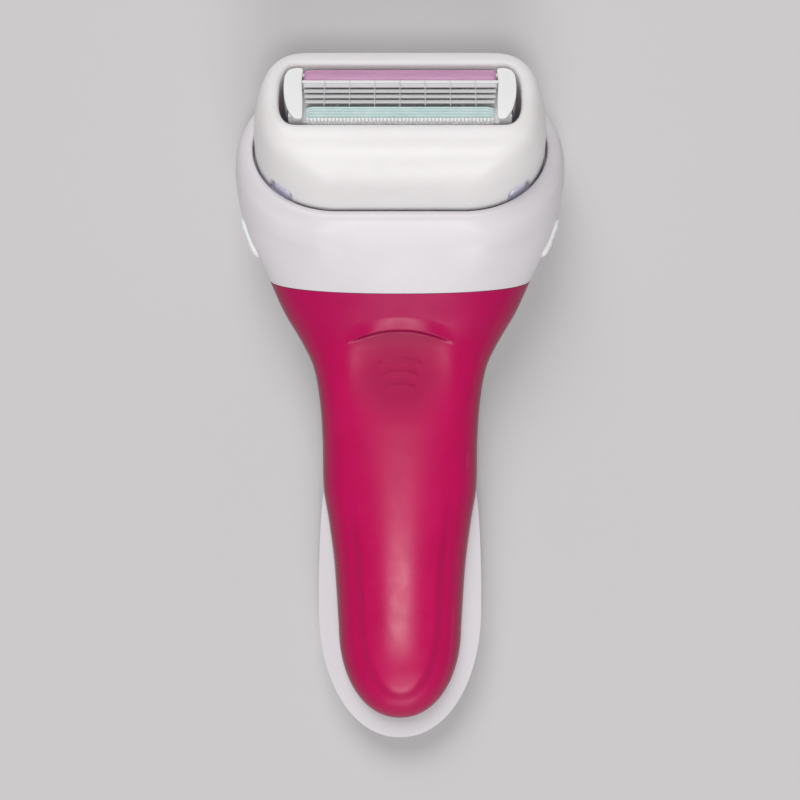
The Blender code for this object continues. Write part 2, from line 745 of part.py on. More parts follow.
def end_clip(name, side, unit):
    """A cap folded over one end of the unit: a plate on the face and a cheek down the end."""
    plan = [(16.9, -6.1), (18.3, -6.1), (19.5, -4.0), (20.2, -1.0), (20.35, 1.5), (20.2, 4.2), (19.6, 5.4),
            (18.6, 5.9), (17.2, 5.9)]
    outline = [(side * u, v) for u, v in plan]
    clip = add(name, slab(name, outline, UNIT_BOTTOM + 0.2, UNIT_TOP + 0.1), "unit_white", unit)
    near, far = sorted((side * 10, side * (UNIT_HALF_U + 0.25)))
    room = box(f"{name}_room", (near, -8, UNIT_BOTTOM - 1), (far, 8, UNIT_TOP - 0.45))
    cut(clip, helper(f"{name}_room", room, unit))
    return clip


def wire(index, unit):
    """A fine wire over the blades, both ends turned down beside them."""
    u = WIRE_PITCH * (index - (WIRES - 1) / 2)
    name = f"wire_{index + 1}"
    curve = bpy.data.curves.new(name, "CURVE")
    curve.dimensions = "3D"
    curve.bevel_depth = WIRE_RADIUS * MM
    curve.bevel_resolution = 2
    curve.use_fill_caps = True
    spline = curve.splines.new("POLY")
    high, low = UNIT_TOP - 0.12, UNIT_TOP - 1.1
    path = [(-2.62, low), (-2.62, high - 0.15), (-2.45, high), (2.95, high), (3.12, high - 0.15), (3.12, low)]
    spline.points.add(len(path) - 1)
    for point, (v, w) in zip(spline.points, path):
        point.co = (u * MM, v * MM, w * MM, 1)
    curve.materials.append(material("blade_steel"))
    return place(name, curve, RAZOR, unit)


# ---------------------------------------------------------------- the razor


SIDES = (("left", -1), ("right", 1))

clear_scene()
RAZOR = collection("cartridge_razor")
CUTTERS = collection("cutters", helper=True)

head_frame = empty("head_frame", location=head_point(0, 0, 0), rotation=(-HEAD_TILT, 0, 0))
pivot_frame = empty("pivot_frame", parent=head_frame, location=(0, 0, PIVOT_W))

grip_shell()
rear_shell()
collar()
head_chassis(head_frame)
for label, direction in SIDES:
    release_button(f"{label}_button", direction)
    button_spring(f"{label}_button_spring", direction)

lather_bar(head_frame)
bar_tray(head_frame)

blade_carriage(head_frame)
return_leaf(head_frame)
for label, direction in SIDES:
    middle_u = direction * PLUNGER_U
    spring_top = CROSSBAR[0] - 0.7
    coil(f"{label}_carriage_spring", (middle_u, 0, TUBE_FLOOR + 0.1), (middle_u, 0, spring_top), 0.85, 0.3, 8,
         "spring_steel", head_frame)
    pivot_pin(f"{label}_pivot_pin", direction, head_frame)

blade_frame(pivot_frame)
for number in range(4):
    blade(number, pivot_frame)
face_strip("guard_strip", "guard_teal", (-16.3, -4.8, UNIT_BOTTOM + 1.3), (16.3, -2.95, UNIT_TOP - 0.2), pivot_frame)
face_strip("glide_strip", "strip_purple", (-16.8, 3.4, UNIT_TOP - 1.1), (16.8, 5.95, UNIT_TOP), pivot_frame)
for label, direction in SIDES:
    end_clip(f"{label}_end_clip", direction, pivot_frame)
for number in range(WIRES):
    wire(number, pivot_frame)
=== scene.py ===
"""Visual model of a cartridge razor with a lather bar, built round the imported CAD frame.

Shapes are worked out in millimetres, with Y = 0 at the middle of the razor. A station is a distance from
the tip of the tail. The head's pieces are drawn in the head's own frame: u across, v up the face and w out
of it.
"""

from math import atan2, copysign, cos, exp, hypot, pi, radians, sin

import bmesh
import bpy
from mathutils import Matrix, Vector


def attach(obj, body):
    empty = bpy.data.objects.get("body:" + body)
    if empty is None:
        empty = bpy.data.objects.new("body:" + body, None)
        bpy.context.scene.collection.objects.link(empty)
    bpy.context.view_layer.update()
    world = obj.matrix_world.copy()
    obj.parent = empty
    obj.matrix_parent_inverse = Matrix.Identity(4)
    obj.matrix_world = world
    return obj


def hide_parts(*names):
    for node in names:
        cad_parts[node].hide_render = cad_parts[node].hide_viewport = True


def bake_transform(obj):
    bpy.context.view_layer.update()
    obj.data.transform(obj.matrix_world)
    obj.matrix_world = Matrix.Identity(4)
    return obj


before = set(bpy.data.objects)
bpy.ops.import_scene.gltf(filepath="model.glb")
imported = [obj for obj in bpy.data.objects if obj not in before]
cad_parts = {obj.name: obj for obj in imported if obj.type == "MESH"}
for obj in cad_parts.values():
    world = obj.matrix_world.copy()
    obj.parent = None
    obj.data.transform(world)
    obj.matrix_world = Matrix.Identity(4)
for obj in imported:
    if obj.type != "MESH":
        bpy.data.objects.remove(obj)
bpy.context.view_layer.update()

MM = 0.001
GAP = 0.3
LENGTH = 124.05
SECTION_POWER = 2.25
HEAD_TILT = radians(36.0)
RIM_STATION, RIM_HEIGHT = 107.6, 16.6
OVAL_STRAIGHT, BAR_RADIUS = 11.2, 14.8
BAR_TOP, BAR_BOTTOM, BAR_WALL_TOP = 13.5, -0.9, 3.4
BAR_CROWN_U, BAR_CROWN_V, BAR_CORNER = 3.6, 7.2, 5.5
WINDOW_U, WINDOW_V, WINDOW_CORNER = 21.2, 7.1, 3.6
UNIT_TOP, UNIT_BOTTOM, UNIT_HALF_U, UNIT_HALF_V = 13.6, 10.2, 19.4, 6.0
PIVOT_W = 8.5
TUBE_U, CORNER_ANGLE = 8.0, radians(47)
SIDES = (("left", -1), ("right", 1))
CORNERS = [(u_side, v_side) for u_side in (-1, 1) for v_side in (-1, 1)]
SMOOTH_ANGLE = 38
MERGE, BAKED_MERGE = 2e-7, 1e-7

# ---- shape helpers


def power(value, exponent):
    """A power that keeps the value's sign."""
    return copysign(abs(value) ** exponent, value)


def step(t):
    """0 up to t = 0 and 1 from t = 1, with a smooth rise between them."""
    t = max(0.0, min(1.0, t))
    return t * t * (3 - 2 * t)


def hermite(t, p, q, m0, m1):
    """A cubic from p to q with those slopes at its ends, for numbers or vectors."""
    rise, fall = 3 * t**2 - 2 * t**3, 2 * t**3 - 3 * t**2 + 1
    return fall * p + (t**3 - 2 * t**2 + t) * m0 + rise * q + (t**3 - t**2) * m1


def smooth(knots, x):
    """A smooth curve through (x, y) knots, held level past both ends."""
    if x <= knots[0][0]:
        return knots[0][1]
    if x >= knots[-1][0]:
        return knots[-1][1]
    k = max(i for i in range(len(knots) - 1) if knots[i][0] <= x)
    (x0, y0), (x1, y1) = knots[k], knots[k + 1]

    def slope(i):
        before, after = knots[max(i - 1, 0)], knots[min(i + 1, len(knots) - 1)]
        return (after[1] - before[1]) / (after[0] - before[0])

    t = (x - x0) / (x1 - x0)
    m0, m1 = slope(k) * (x1 - x0), slope(k + 1) * (x1 - x0)
    return hermite(t, y0, y1, m0, m1)


def along(station):
    """The Y of a station."""
    return station - LENGTH / 2


def head_point(u, v, w):
    """A point of the head's frame as (x, y, z)."""
    up, out = cos(HEAD_TILT), sin(HEAD_TILT)
    return (u, along(RIM_STATION) + v * up + w * out, RIM_HEIGHT - v * out + w * up)


HEAD = Matrix.Translation(head_point(0, 0, 0)) @ Matrix.Rotation(-HEAD_TILT, 4, "X")


def oval(radius_u, radius_v, w=0.0, straight=OVAL_STRAIGHT, ends=22, middles=12, squareness=2.0):
    """A closed ring of (u, v, w): two rounded ends joined by straight sides."""
    quarter = []
    for i in range(ends):
        angle = pi / 2 * i / (ends - 1)
        quarter.append((
            straight + radius_u * power(cos(angle), 2 / squareness),
            radius_v * power(sin(angle), 2 / squareness),
        ))
    across = [straight * (1 - 2 * i / middles) for i in range(1, middles)]
    upper = quarter + [(u, radius_v) for u in across] + [(-u, v) for u, v in reversed(quarter)]
    return [(u, v, w) for u, v in upper] + [(-u, -v, w) for u, v in upper[1:-1]]


def tracks(rings, counts):
    """Fills in smooth rings between the given ones, that many in each gap."""
    gaps = [
        max(1e-6, sum((Vector(b[i]) - Vector(a[i])).length for i in range(0, len(a), 4)))
        for a, b in zip(rings, rings[1:])
    ]
    at = [0.0]
    for gap in gaps:
        at.append(at[-1] + gap)
    made, last = [], len(rings) - 1
    for k in range(last):
        before, after = max(k - 1, 0), min(k + 2, last)
        for j in range(counts[k]):
            t, span = j / counts[k], at[k + 1] - at[k]
            ring = []
            for i, (p, q) in enumerate(zip(rings[k], rings[k + 1])):
                p, q = Vector(p), Vector(q)
                m0 = (q - Vector(rings[before][i])) * (span / (at[k + 1] - at[before]))
                m1 = (Vector(rings[after][i]) - p) * (span / (at[after] - at[k]))
                ring.append(hermite(t, p, q, m0, m1))
            made.append(ring)
    return made + [[Vector(p) for p in rings[-1]]]


# ---- objects


def clean(mesh, distance, turn_out):
    """Merges points closer than the distance, in metres, and may turn every face outwards."""
    work = bmesh.new()
    work.from_mesh(mesh)
    bmesh.ops.remove_doubles(work, verts=work.verts, dist=distance)
    bmesh.ops.dissolve_degenerate(work, edges=work.edges, dist=distance)
    if turn_out:
        bmesh.ops.recalc_face_normals(work, faces=work.faces)
    work.to_mesh(mesh)
    work.free()


def finish_mesh(name, verts, faces, matrix=None):
    mesh = bpy.data.meshes.new(name)
    mesh.from_pydata([Vector(v) * MM for v in verts], [], faces)
    clean(mesh, MERGE, True)
    if matrix is not None:
        mesh.transform(Matrix.Scale(MM, 4) @ matrix @ Matrix.Scale(1 / MM, 4))
    return mesh


def ring_faces(count, pairs):
    """Faces between pairs of rings that have that many points each."""
    faces = []
    for a, b in pairs:
        for i in range(count):
            k = (i + 1) % count
            faces.append((a * count + i, a * count + k, b * count + k, b * count + i))
    return faces


def lofted(name, rings, loop=False, matrix=None):
    """A closed skin through rings of equal length."""
    count, last = len(rings[0]), len(rings) - 1
    faces = ring_faces(count, [(k, k + 1) for k in range(last)] + ([(last, 0)] if loop else []))
    if not loop:
        faces += [tuple(range(count)), tuple(last * count + i for i in range(count))]
    return finish_mesh(name, [point for ring in rings for point in ring], faces, matrix)


def walled(name, outer, inner):
    """A shell with thickness, from rows of outer and inner points. It is open at its last row."""
    count, last = len(outer[0]), len(outer) - 1
    size = 2 * count
    faces = ring_faces(size, [(k, k + 1) for k in range(last)])
    for i in range(count - 1):
        a, b = last * size + i, (last + 1) * size - 1 - i
        faces.append((a, a + 1, b - 1, b))
    return finish_mesh(name, [point for a, b in zip(outer, inner) for point in a + b[::-1]], faces)


def extruded(name, outline, low, high, steps=1, wave=None):
    """A (v, w) outline run along u in the head's frame. wave(u, v, w) may move each point."""
    rings = []
    for k in range(steps + 1):
        u = low + (high - low) * k / steps
        rings.append([wave(u, v, w) if wave else (u, v, w) for v, w in outline])
    return lofted(name, rings, matrix=HEAD)


def plate(name, outline, low, high, matrix=HEAD):
    """A (u, v) outline given thickness along w."""
    return lofted(name, [[(u, v, w) for u, v in outline] for w in (low, high)], matrix=matrix)


def block(name, low, high, matrix=None):
    (a, b, c), (d, e, f) = low, high
    return plate(name, [(a, b), (d, b), (d, e), (a, e)], c, f, matrix)


def side_block(name, side, low, high, matrix=HEAD):
    """A block given for the right side, which is side 1. Side -1 mirrors it to the left."""
    near, far = sorted((side * low[0], side * high[0]))
    return block(name, (near, *low[1:]), (far, *high[1:]), matrix)


def tube_mesh(name, path, radius, sides, matrix=None):
    """Round wire along a path of points, with flat ends."""
    points = [Vector(p) for p in path]
    rings, normal = [], None
    for i, p in enumerate(points):
        tangent = (points[min(i + 1, len(points) - 1)] - points[max(i - 1, 0)]).normalized()
        if normal is None:
            normal = tangent.orthogonal().normalized()
        normal = (normal - tangent * normal.dot(tangent)).normalized()
        other = tangent.cross(normal)
        angles = [2 * pi * k / sides for k in range(sides)]
        rings.append([p + (normal * cos(angle) + other * sin(angle)) * radius for angle in angles])
    return lofted(name, rings, matrix=matrix)


def placed(name, data):
    made = bpy.data.objects.new(name, data)
    bpy.context.scene.collection.objects.link(made)
    return made


def soften(mesh, angle=SMOOTH_ANGLE):
    """Smooth shading, with edges sharper than the angle in degrees left as they are."""
    mesh.shade_smooth()
    mesh.set_sharp_from_angle(angle=radians(angle))


def piece(mesh, look, body, *nodes, angle=SMOOTH_ANGLE):
    """A visible piece that stands in for the CAD nodes, in the material of its look.

    Its body is one name, for a rigid piece, which is attached to it; or the two bodies and the two points of
    a piece that spans them, which is only baked in place.
    """
    made, (material, slot) = placed(mesh.name, mesh), look
    mesh.materials.append(material)
    soften(mesh, angle)
    if isinstance(body, str):
        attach(made, body)
    else:
        first, second, start, end = body
        tuple(Vector(start) * MM)
        tuple(Vector(end) * MM)
        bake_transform(made)
    if nodes:
        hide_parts(*nodes)
    return made


def bake(obj, *steps):
    """Applies modifiers straight away: ("bevel", mm, segments, degrees), ("cut", tool) or ("join", tool).

    A tool is a mesh or an object, and is deleted after use.
    """
    spare = []
    for kind, value, *rest in steps:
        if kind == "bevel":
            made = obj.modifiers.new("bevel", "BEVEL")
            made.width, made.segments = value * MM, rest[0]
            made.limit_method, made.angle_limit = "ANGLE", radians(rest[1])
        else:
            tool = value if isinstance(value, bpy.types.Object) else placed("tool", value)
            spare.append(tool)
            made = obj.modifiers.new(kind, "BOOLEAN")
            made.object, made.solver = tool, "EXACT"
            made.operation = "DIFFERENCE" if kind == "cut" else "UNION"
    bpy.context.view_layer.update()
    graph = bpy.context.evaluated_depsgraph_get()
    mesh = bpy.data.meshes.new_from_object(obj.evaluated_get(graph))
    obj.modifiers.clear()
    unused, obj.data = [obj.data], mesh
    for tool in spare:
        unused.append(tool.data)
        bpy.data.objects.remove(tool)
    for data in unused:
        if data.users == 0:
            bpy.data.meshes.remove(data)
    clean(mesh, BAKED_MERGE, False)
    soften(mesh)
    return obj


def rounded_tool(mesh, radius):
    return bake(placed(mesh.name, mesh), ("bevel", radius, 5, 40))


# ---- materials


class Nodes:
    """A small helper for building one material's tree."""

    def __init__(self, name):
        self.material = bpy.data.materials.new(name)
        self.material.use_nodes = True
        self.tree = self.material.node_tree
        self.shader = self.tree.nodes["Principled BSDF"]
        self.place = self.tree.nodes.new("ShaderNodeTexCoord").outputs["Object"]

    def node(self, kind, inputs=(), **settings):
        made = self.tree.nodes.new(kind)
        for key, value in settings.items():
            setattr(made, key, value)
        for key, value in dict(inputs).items():
            self.fill(made.inputs[key], value)
        return made

    def fill(self, socket, value):
        """Links a socket to another one, or gives it a value."""
        if isinstance(value, bpy.types.NodeSocket):
            self.tree.links.new(value, socket)
        else:
            socket.default_value = (*value, 1.0) if socket.type == "RGBA" else value

    def stretched(self, x, y, z, tilt):
        """Coordinates with a scale on each axis, turned about X."""
        inputs = {"Vector": self.place, "Scale": (x, y, z), "Rotation": (tilt, 0, 0)}
        return self.node("ShaderNodeMapping", inputs).outputs["Vector"]

    def noise(self, scale, detail, rough=0.55, vector=None):
        inputs = {"Vector": vector or self.place, "Scale": scale, "Detail": detail, "Roughness": rough}
        return self.node("ShaderNodeTexNoise", inputs).outputs["Fac"]

    def cells(self, scale):
        """The distance to the nearest of some scattered points."""
        return self.node("ShaderNodeTexVoronoi", {"Vector": self.place, "Scale": scale}).outputs["Distance"]

    def remap(self, value, low, high, out_low=0.0, out_high=1.0):
        inputs = {"Value": value, "From Min": low, "From Max": high, "To Min": out_low, "To Max": out_high}
        return self.node("ShaderNodeMapRange", inputs).outputs["Result"]

    def spread(self, noise, out_low=0.0, out_high=1.0):
        """Maps the range that a noise mostly stays in."""
        return self.remap(noise, 0.3, 0.7, out_low, out_high)

    def mix(self, factor, first, second):
        return self.node("ShaderNodeMix", {0: factor, 6: first, 7: second}, data_type="RGBA").outputs[2]

    def add(self, first, second):
        return self.node("ShaderNodeMath", {0: first, 1: second}, operation="ADD").outputs[0]

    def times(self, first, second):
        return self.node("ShaderNodeMath", {0: first, 1: second}, operation="MULTIPLY").outputs[0]

    def bump(self, height, distance, strength, under=None):
        inputs = {"Height": height, "Distance": distance * MM, "Strength": strength}
        if under is not None:
            inputs["Normal"] = under
        return self.node("ShaderNodeBump", inputs).outputs["Normal"]

    def pointiness(self):
        return self.node("ShaderNodeNewGeometry").outputs["Pointiness"]

    def edges(self, low, high):
        """1 on worn outer edges, 0 elsewhere."""
        return self.remap(self.pointiness(), low, high)

    def hollows(self):
        """1 in hollows, 0 elsewhere."""
        return self.remap(self.pointiness(), 0.40, 0.48, 1.0, 0.0)

    def facing(self):
        """How far the surface faces the razor's front: 1 square on, 0 side on."""
        normal = self.tree.nodes.new("ShaderNodeTexCoord").outputs["Normal"]
        return self.node("ShaderNodeSeparateXYZ", {0: normal}).outputs["Z"]

    def spot(self, middle, radii, low, high):
        """1 inside an oval of the object's XY plane, in millimetres, falling to 0 at its rim."""
        inputs = {
            "Vector": self.place,
            "Location": (-middle[0] / radii[0], -middle[1] / radii[1], 0),
            "Scale": (1 / (radii[0] * MM), 1 / (radii[1] * MM), 0),
        }
        mapped = self.node("ShaderNodeMapping", inputs).outputs["Vector"]
        length = self.node("ShaderNodeVectorMath", {0: mapped}, operation="LENGTH").outputs["Value"]
        return self.remap(length, low, high, 1.0, 0.0)

    def set(self, **values):
        """Fills the shader's sockets, named with an underscore for each space, and returns the material."""
        for key, value in values.items():
            self.fill(self.shader.inputs[key.replace("_", " ")], value)
        return self.material


def grip_material():
    """Deep pink soft plastic, matt in the thumb dish and paler on worn edges, with painted shade at its
    neck, down its sides and in its thumb dish.
    """
    n = Nodes("grip_pink")
    cloud = n.noise(70, 4)
    colour = n.mix(n.spread(cloud), (0.475, 0.0020, 0.082), (0.535, 0.0030, 0.098))
    colour = n.mix(n.times(n.edges(0.53, 0.66), 0.30), colour, (0.66, 0.03, 0.16))
    # Painted shade: the neck end of the grip, towards the collar, is darkened.
    neck = n.spot((0.0, 23.0), (34.0, 17.0), 0.45, 1.0)
    colour = n.mix(n.times(neck, 0.5), colour, (0.355, 0.003, 0.080))
    # Painted shade: darker where the surface turns away from the front, down the grip's sides and round its
    # tail.
    colour = n.mix(n.remap(n.facing(), 0.30, 0.90, 0.85, 0.0), colour, (0.23, 0.004, 0.05))
    # Painted shade: the thumb dish is darkened. The same oval makes the dish matt in the roughness below,
    # which is its real finish.
    dish = n.spot((0.0, 4.4), (9.8, 8.8), 0.50, 1.10)
    colour = n.mix(n.times(dish, 0.5), colour, (0.30, 0.003, 0.055))
    rub = n.noise(420, 5, 0.6)
    rough = n.add(n.spread(cloud, 0.29, 0.34), n.remap(rub, 0.35, 0.75, -0.03, 0.05))
    below_dish = n.spot((0.0, -3.0), (14.0, 15.0), 0.4, 1.0)
    near_tail = n.spot((0.0, -33.0), (11.0, 15.0), 0.3, 1.0)
    for place, change in ((dish, 0.24), (below_dish, 0.12), (near_tail, -0.04)):
        rough = n.add(rough, n.times(place, change))
    normal = n.bump(n.noise(3400, 2), 0.006, 0.4)
    normal = n.bump(n.noise(160, 3), 0.03, 0.25, normal)
    return n.set(Base_Color=colour, Roughness=rough, Normal=normal, Specular_IOR_Level=0.30, IOR=1.45,
                 Subsurface_Weight=0.12, Subsurface_Scale=0.0012, Subsurface_Radius=(1.0, 0.12, 0.3))


def white_material(name, first, second, rough, sub=0.08):
    """Moulded white plastic: slight colour drift, a soft orange-peel gloss and brighter rubbed edges."""
    n = Nodes(name)
    cloud = n.noise(48, 4)
    colour = n.mix(n.spread(cloud), first, second)
    colour = n.mix(n.times(n.edges(0.56, 0.70), 0.4), colour, (0.93, 0.92, 0.93))
    scuffs = n.remap(n.noise(900, 6, 0.7), 0.5, 0.8, 0.0, 0.08)
    normal = n.bump(n.noise(1500, 2), 0.005, 0.25)
    return n.set(Base_Color=colour, Roughness=n.add(n.spread(cloud, rough - 0.03, rough + 0.03), scuffs),
                 Normal=normal, Specular_IOR_Level=0.42, IOR=1.47,
                 Subsurface_Weight=sub, Subsurface_Scale=0.0015, Subsurface_Radius=(1.0, 0.9, 0.95))


def soap_material():
    """Pressed soap: waxy and slightly see-through, with faint swirls, pores and rubbed patches, and painted
    shade in its hollows.
    """
    n = Nodes("lather_bar")
    swirl = n.noise(60, 5, 0.6, n.stretched(1.0, 2.2, 2.2, 0.6))
    colour = n.mix(n.spread(swirl), (0.785, 0.757, 0.759), (0.832, 0.810, 0.808))
    # Painted shade: darker in the hollows.
    colour = n.mix(n.times(n.hollows(), 0.35), colour, (0.74, 0.70, 0.71))
    wax = n.noise(260, 4)
    rough = n.add(n.spread(swirl, 0.36, 0.46), n.spread(wax, -0.04, 0.06))
    normal = n.bump(n.remap(n.cells(900), 0.0, 0.16), 0.010, 0.16)
    normal = n.bump(n.noise(2600, 2), 0.006, 0.3, normal)
    normal = n.bump(n.noise(90, 3), 0.09, 0.35, normal)
    return n.set(Base_Color=colour, Roughness=rough, Normal=normal, IOR=1.47,
                 Subsurface_Weight=0.55, Subsurface_Scale=0.0028, Subsurface_Radius=(1.0, 0.82, 0.72),
                 Coat_Weight=0.08, Coat_Roughness=0.3)


def tray_material():
    """Lavender plastic that lets a little light through."""
    n = Nodes("tray_lavender")
    cloud = n.noise(80, 3)
    colour = n.mix(cloud, (0.62, 0.59, 0.80), (0.74, 0.72, 0.88))
    normal = n.bump(n.noise(1300, 2), 0.006, 0.4)
    return n.set(Base_Color=colour, Roughness=n.spread(n.noise(500, 4), 0.18, 0.30), Normal=normal, IOR=1.5,
                 Subsurface_Weight=0.4, Subsurface_Scale=0.002, Subsurface_Radius=(0.8, 0.8, 1.0),
                 Coat_Weight=0.3, Coat_Roughness=0.1)


def steel_material(name, colour, rough, tilt=0.0, brushed=True, metal=1.0):
    """Steel with fine grinding lines along X. A satin or coated face is less than fully metallic."""
    n = Nodes(name)
    lines = n.noise(9000, 2, 0.6, n.stretched(0.02, 1.0, 1.0, tilt)) if brushed else n.noise(3000, 3)
    tone = n.mix(n.noise(300, 3), colour, tuple(c * 0.88 for c in colour))
    return n.set(Base_Color=tone, Metallic=metal, Roughness=n.spread(lines, rough - 0.06, rough + 0.08),
                 Normal=n.bump(lines, 0.003, 0.35))


def glide_material():
    """The waxy purple strip: a drawn grain along X, small pale flecks and soft, uneven gloss."""
    n = Nodes("strip_purple")
    grain = n.noise(2600, 4, 0.65, n.stretched(0.06, 1.0, 1.0, HEAD_TILT))
    flecks = n.remap(n.cells(1500), 0.0, 0.22, 1.0, 0.0)
    colour = n.mix(n.spread(grain), (0.515, 0.250, 0.420), (0.610, 0.330, 0.520))
    colour = n.mix(n.times(flecks, 0.3), colour, (0.78, 0.60, 0.74))
    normal = n.bump(grain, 0.012, 0.5)
    return n.set(Base_Color=colour, Roughness=n.spread(grain, 0.38, 0.55), Normal=normal,
                 Subsurface_Weight=0.3, Subsurface_Scale=0.0006, Subsurface_Radius=(1.0, 0.6, 0.9))


def guard_material():
    """Pale teal rubber with a dusty bloom."""
    n = Nodes("guard_teal")
    bloom = n.noise(420, 4)
    colour = n.mix(n.spread(bloom), (0.53, 0.69, 0.675), (0.63, 0.765, 0.752))
    colour = n.mix(n.times(n.edges(0.52, 0.62), 0.5), colour, (0.76, 0.86, 0.85))
    return n.set(Base_Color=colour, Roughness=n.spread(bloom, 0.45, 0.62),
                 Normal=n.bump(n.noise(4200, 2), 0.006, 0.45),
                 Subsurface_Weight=0.2, Subsurface_Scale=0.0005)


# A look is a material and the name of its slot
GRIP = grip_material(), "grip_pink"
WHITE = white_material("shell_white", (0.610, 0.583, 0.610), (0.648, 0.624, 0.646), 0.46), "shell_white"
COLLAR = white_material("collar_white", (0.682, 0.648, 0.675), (0.724, 0.693, 0.716), 0.34), "shell_white"
BUTTON = white_material("button_white", (0.88, 0.90, 0.908), (0.905, 0.92, 0.928), 0.32, 0.2), "button_white"
UNIT = white_material("unit_white", (0.935, 0.920, 0.930), (0.960, 0.948, 0.955), 0.30, 0.35), "unit_white"
SOAP = soap_material(), "lather_bar"
TRAY = tray_material(), "tray_lavender"
BLADE = steel_material("blade_steel", (0.79, 0.78, 0.79), 0.46, HEAD_TILT, metal=0.18), "blade_steel"
# The ground facets' glossier steel is their own finish. Their darker colour is painted shade, for the dark
# line along each blade's edge.
EDGE = steel_material("blade_edge", (0.50, 0.48, 0.49), 0.30, HEAD_TILT, metal=0.6)
SPRING = steel_material("spring_steel", (0.56, 0.56, 0.58), 0.28, brushed=False), "spring_steel"
SUPPORT = SPRING[0], "blade_steel"
GLIDE = glide_material(), "strip_purple"
GUARD = guard_material(), "guard_teal"

# ---- the handle

GRIP_WIDTH = [(20.7, 11.2), (32, 11.95), (40, 12.95), (46, 13.9), (55, 14.1), (62, 14.6), (68, 15.7),
              (72, 17.55), (78, 21.0), (84, 23.6), (90, 26)]
REAR_WIDTH = [(24, 14.87), (30, 14.85), (36, 14.65), (42, 14.3), (46, 13.85)]
PARTING = [(0, 6.4), (20, 7.8), (46, 9.4), (60, 10.4), (84, 12.1)]
FRONT = [(20.7, 15.2), (32, 16.4), (46, 17.6), (58, 18.3), (66, 18.6), (72, 19.3), (78, 21.1), (84, 22.7)]
BACK = [(13, -0.45), (26, -0.35), (40, 1.5), (55, 3.2), (66, 3.4), (76, 2.6), (84, 1.5)]
NECK_STATION, NECK_MIDDLE, NECK_SLOPE, NECK_HALF_WIDTH = 84.0, 12.1, 0.3, 23.6
WALL, FLANGE, REAR_SETBACK = 1.7, 2.1, 0.05
GRIP_START, GRIP_END, TAIL_END, TAIL_POWER = 3.7, 17.0, 24.0, 2.1
DISH_DEPTH, DISH_START, DISH_ARCH, DISH_HALF_WIDTH, ARCH_DROP = 1.15, 57.0, 75.6, 10.0, 3.2
BROW_RISE, BROW_BOW, BROW_LENGTH = 0.42, 0.007, 2.8
DISH_FLOOR = [(0.0, 0.78), (0.10, 0.80), (0.194, 0.835), (0.30, 0.985), (0.41, 0.985), (0.516, 0.76),
              (0.624, 0.53), (0.731, 0.31), (0.84, 0.12), (0.92, 0.035), (0.97, 0.006), (1.0, 0.0)]
RIB_REACHES = (3.0, 3.6, 4.2)
RIB_START, RIB_PITCH, RIB_ARCH, RIB_WIDTH, RIB_RISE = 64.6, 2.3, 0.045, 0.42, 0.34
PAD_START, PAD_LENGTH, PAD_POWER, PAD_RISE = 8.4, 15.0, 2.1, 0.5
PAD_HALF_WIDTH = [(23, 6.9), (32, 7.3), (42, 8.2), (52, 9.2)]
LEAN_START, TAIL_ROWS, COARSE_ROW, FINE_ROW, NECK_GAP = 70.0, 26, 0.8, 0.15, 0.12
GRIP_POINTS, REAR_POINTS = 130, 96
TAIL_SAG, TAIL_SAG_LENGTH = 0.45, 12.0


def rounded_end(station, start, length, width):
    """A width that closes to nothing at the start."""
    t = max(0.0, min(1.0, (start + length - station) / length))
    return width * (1 - t**TAIL_POWER) ** (1 / TAIL_POWER)


def grip_half(station, inset=0.0):
    if station < GRIP_START + GRIP_END:
        return rounded_end(station, GRIP_START + inset, GRIP_END - inset, GRIP_WIDTH[0][1] - inset)
    return smooth(GRIP_WIDTH, station) - inset


def rear_half(station, inset=0.0):
    if station < TAIL_END:
        return rounded_end(station, inset, TAIL_END - inset, REAR_WIDTH[0][1] - inset)
    if station < REAR_WIDTH[-1][0]:
        return smooth(REAR_WIDTH, station) - inset
    return smooth(GRIP_WIDTH, station) - REAR_SETBACK - inset


def front_rise(station, inset=0.0):
    if station < GRIP_START + GRIP_END:
        full = FRONT[0][1] - smooth(PARTING, FRONT[0][0]) - GAP / 2 - inset
        return rounded_end(station, GRIP_START + inset, GRIP_END - inset, full)
    return smooth(FRONT, station) - smooth(PARTING, station) - GAP / 2 - inset


def back_drop(station, inset=0.0):
    first, height = BACK[0]
    if station < first:
        return rounded_end(station, inset, first - inset, smooth(PARTING, first) - GAP / 2 - height - inset)
    return smooth(PARTING, station) - GAP / 2 - smooth(BACK, station) - inset


def arch_line(x):
    """The station of the thumb dish's upper edge."""
    return DISH_ARCH - ARCH_DROP * (x / DISH_HALF_WIDTH) ** 2


def grip_relief(x, station):
    """Rise of the grip's face over its plain section: thumb dish and brow, three ribs and the lower pad."""
    above, brow = station - arch_line(x), (BROW_RISE + BROW_BOW * x * x) * step((9.8 - abs(x)) / 5.4)
    if above >= 0:
        rise = brow * max(0.0, 1 - above / BROW_LENGTH) ** 1.2
    else:
        drop, fade = step(-above / 0.7), smooth(DISH_FLOOR, above / (DISH_START - arch_line(x)))
        rise = brow * (1 - drop) - DISH_DEPTH * fade * drop * step((10.5 - abs(x)) / 7.8)
    for k, reach in enumerate(RIB_REACHES):
        line = RIB_START + RIB_PITCH * k - RIB_ARCH * x * x
        across = (station - line) / RIB_WIDTH
        rise += RIB_RISE * step((reach - abs(x)) / 1.2) * exp(-across * across)
    half = smooth(PAD_HALF_WIDTH, station)
    side = abs(x) / half
    back = max(0.0, (PAD_START + PAD_LENGTH - station) / PAD_LENGTH)
    inside = 1 - side**PAD_POWER - back**PAD_POWER
    less = PAD_POWER - 1
    slope = hypot(PAD_POWER * side**less / half, PAD_POWER * back**less / PAD_LENGTH) + 1e-3
    pad = step(inside / slope / 1.7 + 0.5) * (1 - step((station - 30) / 22))
    return rise + PAD_RISE * pad


